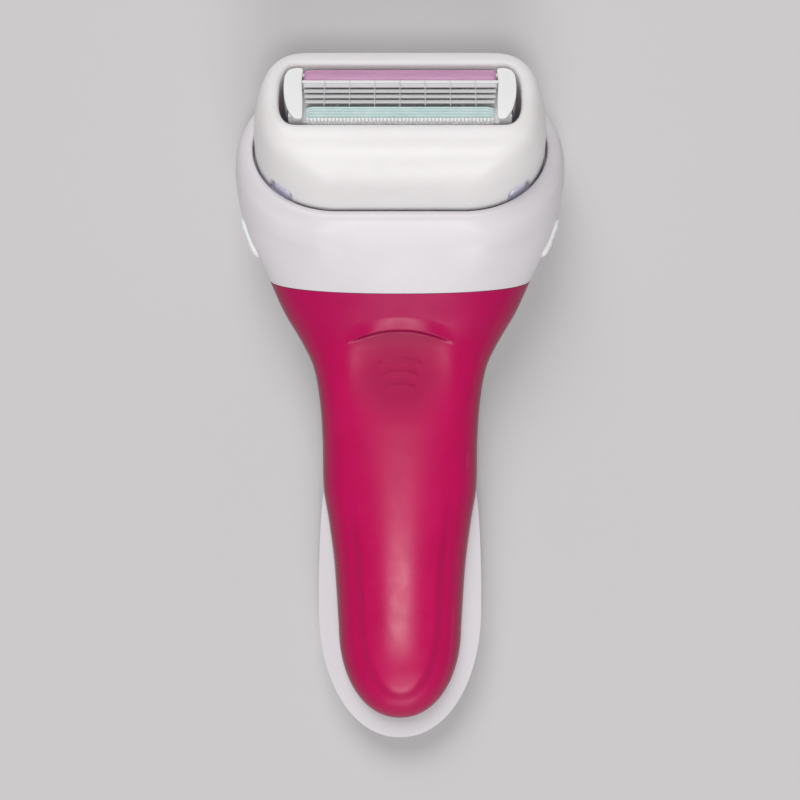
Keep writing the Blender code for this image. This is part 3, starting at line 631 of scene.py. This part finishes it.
def handle_point(x, station, z):
    """A point of the handle, whose sections lean forward towards the neck."""
    lean = NECK_SLOPE * max(0.0, min(1.0, (station - LEAN_START) / (NECK_STATION - LEAN_START)))
    return (x, along(station - lean * (z - NECK_MIDDLE)), max(z, 0.0))


def section(half, rise, count):
    """A section from its left side over its middle to its right side, as (x, rise)."""
    points = []
    for i in range(count + 1):
        angle = pi * (1 - i / count)
        x = half * power(cos(angle), 2 / SECTION_POWER)
        points.append((x, rise * power(abs(sin(angle)), 2 / SECTION_POWER)))
    return points


def handle_stations(start, end_length, fine=(0.0, 0.0)):
    """Stations from the tail to the neck: closer together in the rounded end and in the fine range."""
    made = [start + end_length * (1 - cos(pi / 2 * i / TAIL_ROWS)) for i in range(TAIL_ROWS)]
    station = start + end_length
    while station < NECK_STATION - 0.5:
        made.append(station)
        station += FINE_ROW if fine[0] < station < fine[1] else COARSE_ROW
    return made + [NECK_STATION - NECK_GAP]


def make_grip():
    outer, inner = [], []
    for station in handle_stations(GRIP_START, GRIP_END, (62.0, 80.0)):
        edge = smooth(PARTING, station) + GAP / 2
        row = []
        for x, rise in section(grip_half(station), front_rise(station), GRIP_POINTS):
            row.append(handle_point(x, station, edge + rise + grip_relief(x, station) * step(rise / 3.0)))
        outer.append(row)
        at = max(station, GRIP_START + WALL)
        low = smooth(PARTING, at) + GAP / 2
        under_dish = 1 - DISH_DEPTH * step((at - DISH_START) / 10) / 14
        plain = section(grip_half(at, WALL), front_rise(at, WALL), GRIP_POINTS)
        inner.append([handle_point(x, at, low + z * under_dish) for x, z in plain])
    piece(walled("grip", outer, inner), GRIP, "handle", "grip_shell", angle=60)


def rimmed(row, lip, station, level):
    """A row with its two ends carried over to the flange's inner edge in a few even steps."""
    left, right = Vector(handle_point(-lip, station, level)), Vector(handle_point(lip, station, level))
    steps = (0.0, 0.3, 0.6, 0.85)
    before = [tuple(left.lerp(Vector(row[0]), t)) for t in steps]
    after = [tuple(right.lerp(Vector(row[-1]), t)) for t in reversed(steps)]
    return before + row + after


def make_rear():
    outer, inner = [], []
    for station in handle_stations(0.0, TAIL_END):
        edge = smooth(PARTING, station) - GAP / 2
        plain = section(rear_half(station), back_drop(station), REAR_POINTS)
        row = [handle_point(x, station, edge - z) for x, z in plain]
        at = max(station, GRIP_START + FLANGE)
        lip = grip_half(at) - FLANGE
        if station < GRIP_START + FLANGE:
            lip *= station / (GRIP_START + FLANGE)
        level = smooth(PARTING, at) - GAP / 2 - TAIL_SAG * max(0.0, 1 - station / TAIL_SAG_LENGTH)
        outer.append(rimmed(row, lip, at, level))
        deep = max(station, WALL)
        roof = smooth(PARTING, deep) - GAP / 2 - WALL
        hollow = max(0.0, back_drop(deep, WALL) - WALL)
        plain = section(rear_half(deep, WALL), hollow, REAR_POINTS)
        row = [handle_point(x, deep, roof - z) for x, z in plain]
        inner.append(rimmed(row, lip, at, level - WALL))
    piece(walled("rear_cover", outer, inner), WHITE, "handle", "rear_shell", angle=60)


# ---- the collar

COLLAR_BEND = [
    ((91.4, 25.78), (120.7, 3.6), 29.4, 0.0),
    ((90.1, 25.44), (119.8, 1.95), 29.65, 0.05),
    ((88.8, 25.08), (116.6, 0.1), 29.64, 0.15),
    ((87.3, 24.64), (109.6, -0.35), 29.0, 0.4),
    ((85.5, 24.11), (101.4, -0.35), 27.75, 0.65),
    ((83.3, 23.46), (93.9, 0.4), 25.7, 0.85),
    ((80.82, 22.7), (87.18, 1.5), NECK_HALF_WIDTH, 1.0),
]
COLLAR_LIP = [(15.2, -0.75), (15.24, -0.3), (15.42, -0.06), (15.75, 0.0), (16.17, -0.05), (16.66, -0.22),
              (17.15, -0.56), (17.62, -1.05)]
COLLAR_ROWS = [2, 2, 2, 2, 2, 2, 3, 4, 5, 6, 7, 8, 8, 8]
TENON = [(0.12, -0.03), (0.4, 0.0), (2.5, 0.0), (4.2, -4.0), (5.6, -4.0), (5.6, 0.0)]
SOCKET = [(16.5, -4.7), (12.75, -4.7), (12.6, -4.55), (12.6, -3.4), (12.9, -3.1), (15.05, -3.1),
          (15.2, -2.95)]
COLLAR_WALL, WINDOW_ROUNDING = 2.0, 1.4
BUTTON_Y, BUTTON_Z = along(91.5), 12.0
BUTTON_HALF_Y, BUTTON_HALF_Z, BUTTON_FACE, BUTTON_SLOPE = 3.6, 3.4, 27.9, 0.36
BUTTON_ROUND, BUTTON_POWER, BUTTON_POINTS, BUTTON_ROWS = 0.95, 4.5, 112, 40
BUTTON_RIBS = (-1.5, 0.0, 1.5)
BUTTON_RIB_RISE, BUTTON_RIB_WIDTH, BUTTON_RIB_REACH, BUTTON_CROWN = 0.20, 0.34, 2.6, 0.04


def bend_ring(front, back, half_width, blend, inset=0.0, lift=0.0):
    """A ring from a front to a back (station, z): the head's oval at blend 0, the neck's section at 1."""
    front, back = Vector(front), Vector(back)
    down = (back - front).normalized()
    middle = (front + back) / 2 + Vector((-down.y, down.x)) * lift
    reach = (back - front).length / 2 - inset
    half_width -= inset
    straight = OVAL_STRAIGHT * half_width / (OVAL_STRAIGHT + BAR_RADIUS)
    ring = []
    for u, v, _ in oval(half_width - straight, reach, straight=straight):
        angle = atan2(v / reach, u / half_width)
        across = half_width * power(cos(angle), 2 / SECTION_POWER)
        depth = reach * power(sin(angle), 2 / SECTION_POWER)
        point = middle + down * (v + (depth - v) * blend)
        ring.append((u + (across - u) * blend, along(point.x), point.y))
    return ring


def head_ring(radius, w):
    return [head_point(*point) for point in oval(radius, radius, w)]


def make_collar():
    lip = [head_ring(radius, w) for radius, w in COLLAR_LIP]
    bends = [bend_ring(*bend) for bend in COLLAR_BEND]
    outside = tracks(lip + bends, COLLAR_ROWS)
    outside = [[(x, y, max(z, 0.0)) for x, y, z in ring] for ring in outside]
    tenon = [bend_ring(*COLLAR_BEND[-1], inset=inset, lift=lift) for inset, lift in TENON]
    inside = [bend_ring(*bend, inset=COLLAR_WALL) for bend in reversed(COLLAR_BEND[2:-1])]
    socket = [head_ring(radius, w) for radius, w in SOCKET]
    mesh = lofted("collar_shell", outside + tenon + inside + socket, loop=True)
    collar = piece(mesh, COLLAR, "handle", "collar", angle=45)
    half_y, half_z = BUTTON_HALF_Y + GAP, BUTTON_HALF_Z + GAP
    low, high = (17, BUTTON_Y - half_y, BUTTON_Z - half_z), (35, BUTTON_Y + half_y, BUTTON_Z + half_z)
    windows = [side_block("window", side, low, high, None) for _, side in SIDES]
    bake(collar, *[("cut", rounded_tool(window, WINDOW_ROUNDING)) for window in windows])


def make_button(name, side):
    """The pad, crowned and crossed by three ribs, and the flange and latch arm behind it."""
    y0, z0, rings = BUTTON_Y, BUTTON_Z, []

    def ring(scale_y, scale_z, x, ribbed=False):
        made = []
        for k in range(BUTTON_POINTS):
            angle = 2 * pi * k / BUTTON_POINTS
            y = scale_y * power(cos(angle), 2 / BUTTON_POWER)
            z = scale_z * power(sin(angle), 2 / BUTTON_POWER)
            rise = 0.0
            if ribbed:
                edge = BUTTON_RIB_RISE * step((BUTTON_RIB_REACH - abs(z)) / 0.7)
                rise = sum(edge * exp(-(((y - at) / BUTTON_RIB_WIDTH) ** 2)) for at in BUTTON_RIBS)
                rise += BUTTON_CROWN * (1 - (z / BUTTON_HALF_Z) ** 2)
            made.append((side * (x + rise + BUTTON_SLOPE * y), y0 + y, z0 + z))
        rings.append(made)

    top = BUTTON_FACE - 0.15
    for x in (20.5, 22.5, 24.5, 26.0, top - BUTTON_ROUND):
        ring(BUTTON_HALF_Y, BUTTON_HALF_Z, x)
    for k in range(1, 9):
        angle = pi / 2 * k / 8
        shrink, rise = BUTTON_ROUND * (1 - cos(angle)), BUTTON_ROUND * sin(angle)
        ring(BUTTON_HALF_Y - shrink, BUTTON_HALF_Z - shrink, top - BUTTON_ROUND + rise)
    for k in range(1, BUTTON_ROWS):
        t = 1 - k / BUTTON_ROWS
        ring((BUTTON_HALF_Y - BUTTON_ROUND) * t, (BUTTON_HALF_Z - BUTTON_ROUND) * t, top, True)
    piece(lofted(f"{name}_pad", rings), BUTTON, name, name, angle=50)
    flange = block("flange", (19.9, y0 - 3.1, z0 - 3.2), (22.0, y0 + 4.4, z0 + 4.2))
    for vertex in flange.vertices:
        vertex.co.x += BUTTON_SLOPE * (vertex.co.y - y0 * MM)
    outline = [(-12.4, -16.0), (-6.6, -16.0), (1.7, -12.4), (1.7, -4.4), (-1.7, -4.4), (-1.7, -11.4),
               (-12.4, -11.4)]
    arm = extruded(f"{name}_latch", outline, 19.4, 21.2)
    nose = block("nose", (21.0, -1.5, -6.6), (21.7, 1.5, -5.0), HEAD)
    if side < 0:
        for mesh in (flange, arm, nose):
            mesh.transform(Matrix.Diagonal((-1, 1, 1, 1)))
            mesh.flip_normals()
    bake(piece(arm, BUTTON, name), ("join", flange), ("join", nose), ("bevel", 0.22, 2, 50))


# ---- the cartridge

BAR_ROWS, BAR_TURN, BAR_SLIMMING, BAR_ENDS, BAR_MIDDLES = 26, 0.945, 0.13, 34, 20
WINDOW_ROUND, WINDOW_ROWS = 0.75, 7


def bar_levels():
    """(w, how far in at the ends, how far in at the long sides, squareness) up the outside of the soap."""
    levels = [(BAR_BOTTOM + up, inset, inset, 0.0) for up, inset in ((0, 0.5), (0.1, 0.22), (0.35, 0.05))]
    levels += [(BAR_BOTTOM + 0.7 + 0.6 * k, 0.0, 0.0, 0.0) for k in range(7)]
    for i in range(BAR_ROWS + 1):
        angle = pi / 2 * i / BAR_ROWS * BAR_TURN
        t, w = 1 - cos(angle), BAR_WALL_TOP + (BAR_TOP - BAR_WALL_TOP) * sin(angle)
        slimmer = BAR_SLIMMING * sin(pi * i / BAR_ROWS)
        levels.append((w, t * BAR_CROWN_U, t * BAR_CROWN_V + slimmer, 1 - (1 - t) ** 3))
    return levels


def make_bar():
    rings = []
    for w, u, v, square in bar_levels():
        corner = square * BAR_CORNER
        straight, shape = OVAL_STRAIGHT + corner, (BAR_ENDS, BAR_MIDDLES, 2 + 0.6 * square)
        rings.append(oval(BAR_RADIUS - u - corner, BAR_RADIUS - v, w, straight, *shape))

    def window(outset, w):
        straight, shape = WINDOW_U - WINDOW_CORNER, (BAR_ENDS, BAR_MIDDLES, 2.7)
        return oval(WINDOW_CORNER + outset, WINDOW_V + outset, w, straight, *shape)

    rings.append(window(WINDOW_ROUND * 1.15, BAR_TOP - 0.005))
    for k in range(1, WINDOW_ROWS + 1):
        angle = pi / 2 * k / WINDOW_ROWS
        outset, drop = WINDOW_ROUND * (1 - sin(angle)), WINDOW_ROUND * (1 - cos(angle))
        rings.append(window(outset, BAR_TOP - drop))
    rings += [window(0.0, w) for w in (11.5, 9.5, 6.0, 2.5, BAR_BOTTOM)]
    mesh = lofted("soap_bar", rings, loop=True, matrix=HEAD)
    bar = piece(mesh, SOAP, "cartridge", "lather_bar", angle=50)
    cuts = []
    for u_side, v_side in CORNERS:
        out = Vector((cos(CORNER_ANGLE) * u_side, sin(CORNER_ANGLE) * v_side, 0))
        middle = Vector((OVAL_STRAIGHT * u_side, 0, 0)) + out * BAR_RADIUS
        turn = Matrix(((out.x, -out.y, 0), (out.y, out.x, 0), (0, 0, 1))).to_4x4()
        place = HEAD @ Matrix.Translation(middle) @ turn
        notch = block("notch", (-1.3, -2.9, -3.0), (2.5, 2.9, 1.75), place)
        cuts.append(("cut", rounded_tool(notch, 1.1)))
    bake(bar, *cuts)


def make_tray():
    """The lavender carrier: floor, skirt with its catches, tubes, and four clips at the bar's corners."""
    profile = [(14.45, -1.2), (14.65, -1.3), (14.7, -1.5), (14.7, -2.5), (14.6, -2.72), (14.4, -2.8),
               (12.5, -2.8), (12.27, -2.87), (12.2, -3.1), (12.2, -7.15), (12.1, -7.4), (11.85, -7.5),
               (11.35, -7.5), (11.1, -7.4), (11.0, -7.15), (11.0, -2.8)]
    mesh = lofted("tray", [oval(r, r, w) for r, w in profile], matrix=HEAD)
    tray = piece(mesh, TRAY, "cartridge", "bar_tray", angle=45)
    steps = []
    slot = [(u, v) for u, v, _ in oval(1.6, 2.6, straight=1.1, ends=9, middles=2)]
    for _, side in SIDES:
        u = side * TUBE_U
        steps += [
            ("join", tube_mesh("tube", [(u, 0, -8.0), (u, 0, 0.2)], 3.2, 40, HEAD)),
            ("cut", tube_mesh("bore", [(u, 0, -7.2), (u, 0, 3)], 2.2, 40, HEAD)),
            ("cut", side_block("catch", side, (21.6, -1.9, -6.9), (24.5, 1.9, -4.7))),
            ("cut", plate("rinse", slot, -4, 0, HEAD @ Matrix.Translation((side * 15.9, 0, 0)))),
        ]
    bake(tray, *steps)
    for u_side, v_side in CORNERS:
        rings = []
        for k in range(13):
            angle = CORNER_ANGLE + radians(9.6) * (k / 6 - 1)
            top = -0.4 + 1.55 * step(min(k, 12 - k) / 2.5)
            across = [(13.75, -1.25), (14.45, -1.25), (14.45, top - 0.25), (14.3, top), (13.95, top),
                      (13.75, top - 0.25)]
            u, v = cos(angle), v_side * sin(angle)
            rings.append([(u_side * (OVAL_STRAIGHT + u * r), v * r, w) for r, w in across])
        name = f"tray_clip_{'right' if u_side > 0 else 'left'}_{'back' if v_side > 0 else 'front'}"
        piece(lofted(name, rings, matrix=HEAD), TRAY, "cartridge")


# ---- the blade unit

BLADE_PITCH, BLADE_HALF_U, BLADE_WIDTH, BLADE_TILT, FIRST_EDGE = 1.27, 16.9, 1.35, radians(17), -2.3
BLADE_THICKNESS, BLADE_NARROWING, GROUND, SUPPORT_DEPTH = 0.17, 0.13, 0.16, 0.26
WIRE_PITCH, WIRES, WIRE_RADIUS, WIRE_BEND, WIRE_FRONT, WIRE_BACK = 4.4, 7, 0.075, 0.2, -2.62, 3.12
WELL_HALF_U, WELL_FLOOR = 17.3, 1.0
COMB_HALF, COMB_PITCH, COMB_FRONT, COMB_BACK, COMB_TOP = 16.32, 0.64, -6.12, -5.36, 12.94
COMB_TOOTH = [(0, 0), (0.11, 0), (0.15, 1), (0.20, 1.15), (0.44, 1.15), (0.49, 1), (0.53, 0)]


def rounded_outline(points, radius, steps=4):
    """A polygon with each corner turned into a short arc."""
    made, count = [], len(points)
    for i, p in enumerate(points):
        p, before, after = Vector(p), Vector(points[i - 1]), Vector(points[(i + 1) % count])
        a, b = (before - p), (after - p)
        reach = min(radius, a.length * 0.45, b.length * 0.45)
        first, last = p + a.normalized() * reach, p + b.normalized() * reach
        for k in range(steps + 1):
            t = k / steps
            made.append(tuple((1 - t) ** 2 * first + 2 * t * (1 - t) * p + t * t * last))
    return made


def make_unit_frame():
    """The open frame: a well for the blades, lugs for the pins, and corners cut to clear the window."""
    low, wall, over = UNIT_BOTTOM, UNIT_TOP - 0.7, UNIT_TOP + 1
    well, floor, out_u, out_v = WELL_HALF_U, UNIT_BOTTOM + WELL_FLOOR, UNIT_HALF_U + 1, UNIT_HALF_V + 1
    mesh = block("unit_frame", (-UNIT_HALF_U, -5.0, low), (UNIT_HALF_U, UNIT_HALF_V, wall), HEAD)
    body = piece(mesh, UNIT, "blade_unit", "blade_frame")
    steps = [
        ("cut", block("well", (-well, -4.0, floor), (well, 5.2, over), HEAD)),
        ("cut", block("step", (-well, 5.0, wall - 0.7), (well, 7.0, over), HEAD)),
        ("cut", block("front", (-well, -7.0, floor), (well, -3.9, over), HEAD)),
    ]
    for _, side in SIDES:
        steps += [
            ("join", side_block("lug", side, (15.8, -1.5, PIVOT_W - 1.5), (17.5, 1.5, low + 0.5))),
            ("cut", tube_mesh("hole", [(side * 15, 0, PIVOT_W), (side * 18, 0, PIVOT_W)], 0.8, 24, HEAD)),
            ("cut", side_block("corner", side, (18.3, 5.3, low - 1), (out_u, out_v, UNIT_TOP))),
        ]
    steps.append(("join", block("ledge", (-17.2, 2.80, floor), (17.2, 3.34, UNIT_TOP - 0.36), HEAD)))
    for u in (-11.0, 0.0, 11.0):
        steps.append(("join", block("rib", (u - 0.3, -3.9, low + 0.5), (u + 0.3, 3.0, low + 1.7), HEAD)))
    bake(body, *steps, ("bevel", 0.16, 3, 50))


def make_comb():
    """The front bar, whose top edge is a fine comb."""
    samples = []
    for k in range(int(2 * COMB_HALF / COMB_PITCH + 0.5)):
        samples += [(-COMB_HALF + k * COMB_PITCH + u, tooth) for u, tooth in COMB_TOOTH]
    samples.append((COMB_HALF, 0))
    back, low, top = COMB_BACK, UNIT_BOTTOM + 0.15, COMB_TOP
    rings = []
    for u, tooth in samples:
        front, gum = COMB_FRONT + 0.2 * step((abs(u) - COMB_HALF + 1.2) / 1.2), 1 - min(tooth, 1)
        outline = [
            (back, low + 0.2), (back, top), (back - 0.06, top + 0.08),
            (back - 0.13, top + 0.05 - 0.10 * gum), (back - 0.24, top - 0.02 + 0.04 * tooth - 0.85 * gum),
            (front + 0.20, top - 0.22 + 0.05 * tooth - 0.80 * gum),
            (front + 0.30 * gum, top - 0.70 - 0.4 * gum), (front + 0.30 * gum, low + 0.4),
            (front + 0.34, low), (back - 0.2, low),
        ]
        rings.append([(u, v, w) for v, w in outline])
    piece(lofted("guard_comb", rings, matrix=HEAD), UNIT, "blade_unit", angle=30)


def sinking_ends(floor, depth, start, length, ripple=0.0):
    """A wave that lowers what is over the floor towards both ends, and may ripple it."""
    def wave(u, v, w):
        if w <= floor:
            return (u, v, w)
        drop = depth * step((abs(u) - start) / length)
        return (u, v, w - drop + ripple * sin(u * 0.9 + 0.6) * sin(u * 0.37))

    return wave


def make_guard():
    """The rubber strip in front of the blades, with four rounded ridges."""
    low, top, front, back, ridges, count = UNIT_BOTTOM + 1.3, UNIT_TOP - 0.42, -5.26, -2.85, 4, 40
    outline = [(back, low), (back, top - 0.25)]
    for k in range(count + 1):
        v = back - 0.12 + (front - back + 0.24) * k / count
        wave = abs(sin(pi * ridges * k / count)) ** 0.8
        slope = -0.32 * (k / count) ** 2
        outline.append((v, top + slope - 0.06 + 0.30 * wave))
    outline += [(front, top - 0.6), (front, low)]
    mesh = extruded("guard_ridges", outline, -16.3, 16.3, 64, sinking_ends(low + 0.3, 0.45, 15.4, 0.9))
    piece(mesh, GUARD, "blade_unit", "guard_strip", angle=55)


def make_glide():
    """The purple strip, with a gently crowned and slightly uneven face."""
    low, top, front, back, count = UNIT_TOP - 1.1, UNIT_TOP, 3.4, 5.95, 14
    outline = [(front, low), (front, top - 0.42)]
    for k in range(count + 1):
        t = k / count
        v = front + 0.05 + (back - front - 0.1) * t
        outline.append((v, top - 0.30 + 0.28 * sin(pi * t) ** 0.45 - 0.12 * t))
    outline += [(back, top - 0.55), (back, low)]
    mesh = extruded("glide_bar", outline, -16.8, 16.8, 90, sinking_ends(low + 0.3, 0.35, 16.25, 0.55, 0.02))
    piece(mesh, GLIDE, "blade_unit", "glide_strip", angle=55)


def make_blades():
    """Each blade is a thin tilted strip with a ground edge, on a bent support."""
    back = Vector((cos(BLADE_TILT), -sin(BLADE_TILT)))
    under = Vector((-sin(BLADE_TILT), -cos(BLADE_TILT)))
    for index in range(4):
        edge = Vector((FIRST_EDGE + BLADE_PITCH * index, UNIT_TOP - 0.3))
        heel = edge + back * BLADE_WIDTH
        outline = [edge + under * 0.05, edge + under * 0.035 - back * 0.02, edge + back * GROUND, heel,
                   heel + under * BLADE_THICKNESS, edge + back * 0.36 + under * BLADE_THICKNESS]
        name, half = f"blade_{index + 1}", BLADE_HALF_U - BLADE_NARROWING * (3 - index)
        mesh = extruded(f"{name}_strip", outline, -half, half, 2)
        piece(mesh, BLADE, "blade_unit", name, angle=12)
        # The ground facet takes the darker edge steel: painted shade along each edge.
        mesh.materials.append(EDGE)
        start = Vector(head_point(0, *(edge + back * (GROUND + 0.03)))).yz * MM
        ahead = Vector(head_point(0, *(edge + back * (GROUND + 1.03)))).yz * MM - start
        for face in mesh.polygons:
            if face.area > 1e-7 and abs(face.normal.x) < 0.5:
                corners = [mesh.vertices[i].co.yz for i in face.vertices]
                middle = sum(corners, Vector((0, 0))) / len(corners)
                if (middle - start).dot(ahead) < 0:
                    face.material_index = 1
        first = edge + back * 0.62 + under * SUPPORT_DEPTH
        bend = edge + back * (BLADE_WIDTH - 0.05) + under * SUPPORT_DEPTH
        foot = bend + Vector((0.05, -0.62))
        outline = [first, bend, foot, foot + Vector((-0.14, 0.0)), bend + Vector((-0.16, -0.16)),
                   first + under * 0.13]
        mesh = extruded(f"{name}_support", outline, -half + 0.4, half - 0.4, 2)
        piece(mesh, SUPPORT, "blade_unit", angle=25)


def make_clips():
    """The caps over both ends of the blades."""
    plan = [(16.9, -6.1), (18.3, -6.1), (19.5, -4.0), (20.2, -1.0), (20.35, 1.5), (20.2, 4.2), (19.6, 5.4),
            (18.6, 5.9), (17.0, 5.9), (17.25, 2.9), (16.95, -2.4)]
    for name, side in SIDES:
        outline = rounded_outline([(side * u, v) for u, v in plan], 0.8)
        mesh = plate(f"{name}_cap", outline, UNIT_BOTTOM + 0.2, UNIT_TOP + 0.1)
        clip = piece(mesh, UNIT, "blade_unit", f"{name}_end_clip")
        room = side_block("room", side, (10, -8, UNIT_BOTTOM - 1), (UNIT_HALF_U + 0.25, 8, UNIT_TOP - 0.45))
        bake(clip, ("cut", room), ("bevel", 0.2, 3, 50))


def make_wires():
    """The wires across the blades, bent down at both ends."""
    high, low, bend = UNIT_TOP - 0.12, UNIT_TOP - 1.1, WIRE_BEND
    front, back, turns = WIRE_FRONT, WIRE_BACK - WIRE_BEND, (0.4, 0.8, 1.2, 1.57)
    for index in range(WIRES):
        path = [(front, low), (front, high - bend)]
        path += [(front + bend * (1 - cos(a)), high - bend + bend * sin(a)) for a in turns]
        path += [(v, high) for v in (-1.2, 0.3, 1.8)]
        path += [(back + bend * sin(a), high - bend + bend * cos(a)) for a in (0.0, *turns)]
        path.append((WIRE_BACK, low))
        name, u = f"wire_{index + 1}", WIRE_PITCH * (index - (WIRES - 1) / 2)
        mesh = tube_mesh(f"{name}_loop", [(u, v, w) for v, w in path], WIRE_RADIUS, 10, HEAD)
        piece(mesh, BLADE, "blade_unit", name, angle=60)


# ---- springs and the plain CAD parts

LEAF_FOOT, LEAF_HALF_THICKNESS, LEAF_HALF_U, LEAF_ROWS = 5.85, 0.11, 3.0, 5
COIL_POINTS, CLOSED_TURNS = 28, 0.75


def coil_mesh(name, start, end, radius, wire, turns, matrix=None):
    """A coil spring whose first and last turns lie closed."""
    start, end = Vector(start), Vector(end)
    axis = end - start
    turn = axis.to_track_quat("Z", "Y").to_matrix()
    steps, closed = COIL_POINTS * turns, CLOSED_TURNS
    path = []
    for i in range(steps + 1):
        lead = turns * (i / steps)
        if lead < closed:
            rise = wire * 0.5 + wire * lead / closed
        elif lead > turns - closed:
            rise = axis.length - wire * 0.5 - wire * (turns - lead) / closed
        else:
            rise = wire * 1.5 + (axis.length - 3 * wire) * (lead - closed) / (turns - 2 * closed)
        angle = 2 * pi * lead
        path.append(start + turn @ Vector((radius * cos(angle), radius * sin(angle), rise)))
    return tube_mesh(name, path, wire / 2, 10, matrix)


def make_springs():
    for name, side in SIDES:
        start, end = (side * 12.55, BUTTON_Y, BUTTON_Z), (side * 18.9, BUTTON_Y, BUTTON_Z)
        mesh = coil_mesh(f"{name}_press_coil", start, end, 2.2, 0.45, 5)
        piece(mesh, SPRING, ("handle", f"{name}_button", start, end), f"{name}_button_spring", angle=60)
        low, high = (side * TUBE_U, 0, -7.1), (side * TUBE_U, 0, 2.85)
        mesh = coil_mesh(f"{name}_rise_coil", low, high, 0.85, 0.3, 8, HEAD)
        body = ("cartridge", "carriage", head_point(*low), head_point(*high))
        piece(mesh, SPRING, body, f"{name}_carriage_spring", angle=60)


def make_leaf():
    """The thin tongue that holds the blade unit level, between the carriage and the unit."""
    low, high = LEAF_FOOT, UNIT_BOTTOM - 0.28
    rise = high - low
    knots = [(1.2, low), (0.3, low), (-0.6, low + 0.02), (-1.3, low + 0.35), (-1.5, low + 0.8),
             (-1.4, low + 1.3), (-0.9, low + rise * 0.62), (0.3, low + rise * 0.86), (1.2, high - 0.02),
             (1.8, high)]
    line = [row[0].xy for row in tracks([[(v, w, 0.0)] for v, w in knots], [LEAF_ROWS] * (len(knots) - 1))]
    outline, other = [], []
    for k, point in enumerate(line):
        across = (line[min(k + 1, len(line) - 1)] - line[max(k - 1, 0)]).normalized() * LEAF_HALF_THICKNESS
        outline.append((point.x - across.y, point.y + across.x))
        other.append((point.x + across.y, point.y - across.x))
    mesh = extruded("leaf_strip", outline + other[::-1], -LEAF_HALF_U, LEAF_HALF_U, 6)
    body = ("carriage", "blade_unit", head_point(0, 0, low + 0.6), head_point(0, 0, high - 0.2))
    piece(mesh, SPRING, body, "return_leaf", angle=40)


def dress(node, look):
    """Gives a CAD part that stays visible its material."""
    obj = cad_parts[node]
    for slot in obj.material_slots:
        slot.material = look[0]
    if not obj.material_slots:
        obj.data.materials.append(look[0])


make_grip()
make_rear()
make_collar()
for label, direction in SIDES:
    make_button(f"{label}_button", direction)
make_bar()
make_tray()
make_unit_frame()
make_comb()
make_guard()
make_glide()
make_blades()
make_clips()
make_wires()
make_springs()
make_leaf()
dress("head_chassis", WHITE)
dress("blade_carriage", UNIT)
for label, _ in SIDES:
    dress(f"{label}_pivot_pin", SPRING)

# ---- the stage

FLOOR_HALF, CAMERA_HEIGHT, FOCAL_LENGTH = 8.0, 0.415, 100


def make_floor():
    half = FLOOR_HALF / MM
    corners = [(-half, -half, 0), (half, -half, 0), (half, half, 0), (-half, half, 0)]
    mesh = finish_mesh("floor", corners, [(0, 1, 2, 3)])
    mesh.materials.append(Nodes("floor").set(Base_Color=(0.56, 0.545, 0.55), Roughness=0.75))
    placed("floor", mesh)


def sun(name, towards, spread, strength):
    """A distant soft light: where it comes from, how wide it looks in degrees, and how strong it is."""
    data = bpy.data.lights.new(name, "SUN")
    data.angle, data.energy = radians(spread), strength
    placed(name, data).rotation_euler = Vector(towards).to_track_quat("Z", "Y").to_euler()


make_floor()
sun("key", (-0.20, 0.90, 1.0), 36, 1.58)
sun("front", (0.12, -1.6, 1.0), 30, 1.25)
sun("over", (0.0, -0.30, 1.0), 14, 0.85)
world = bpy.data.worlds.new("studio")
world.use_nodes = True
sky = world.node_tree.nodes["Background"]
sky.inputs["Color"].default_value = (0.98, 0.99, 1.0, 1.0)
sky.inputs["Strength"].default_value = 0.22
bpy.context.scene.world = world
bpy.context.scene.view_settings.view_transform = "Standard"

lens = bpy.data.cameras.new("camera")
lens.lens, lens.sensor_width = FOCAL_LENGTH, 36
lens.clip_start, lens.clip_end = 0.01, 10
camera = placed("camera", lens)
camera.location = (0.0, 0.0, CAMERA_HEIGHT)
bpy.context.scene.camera = camera
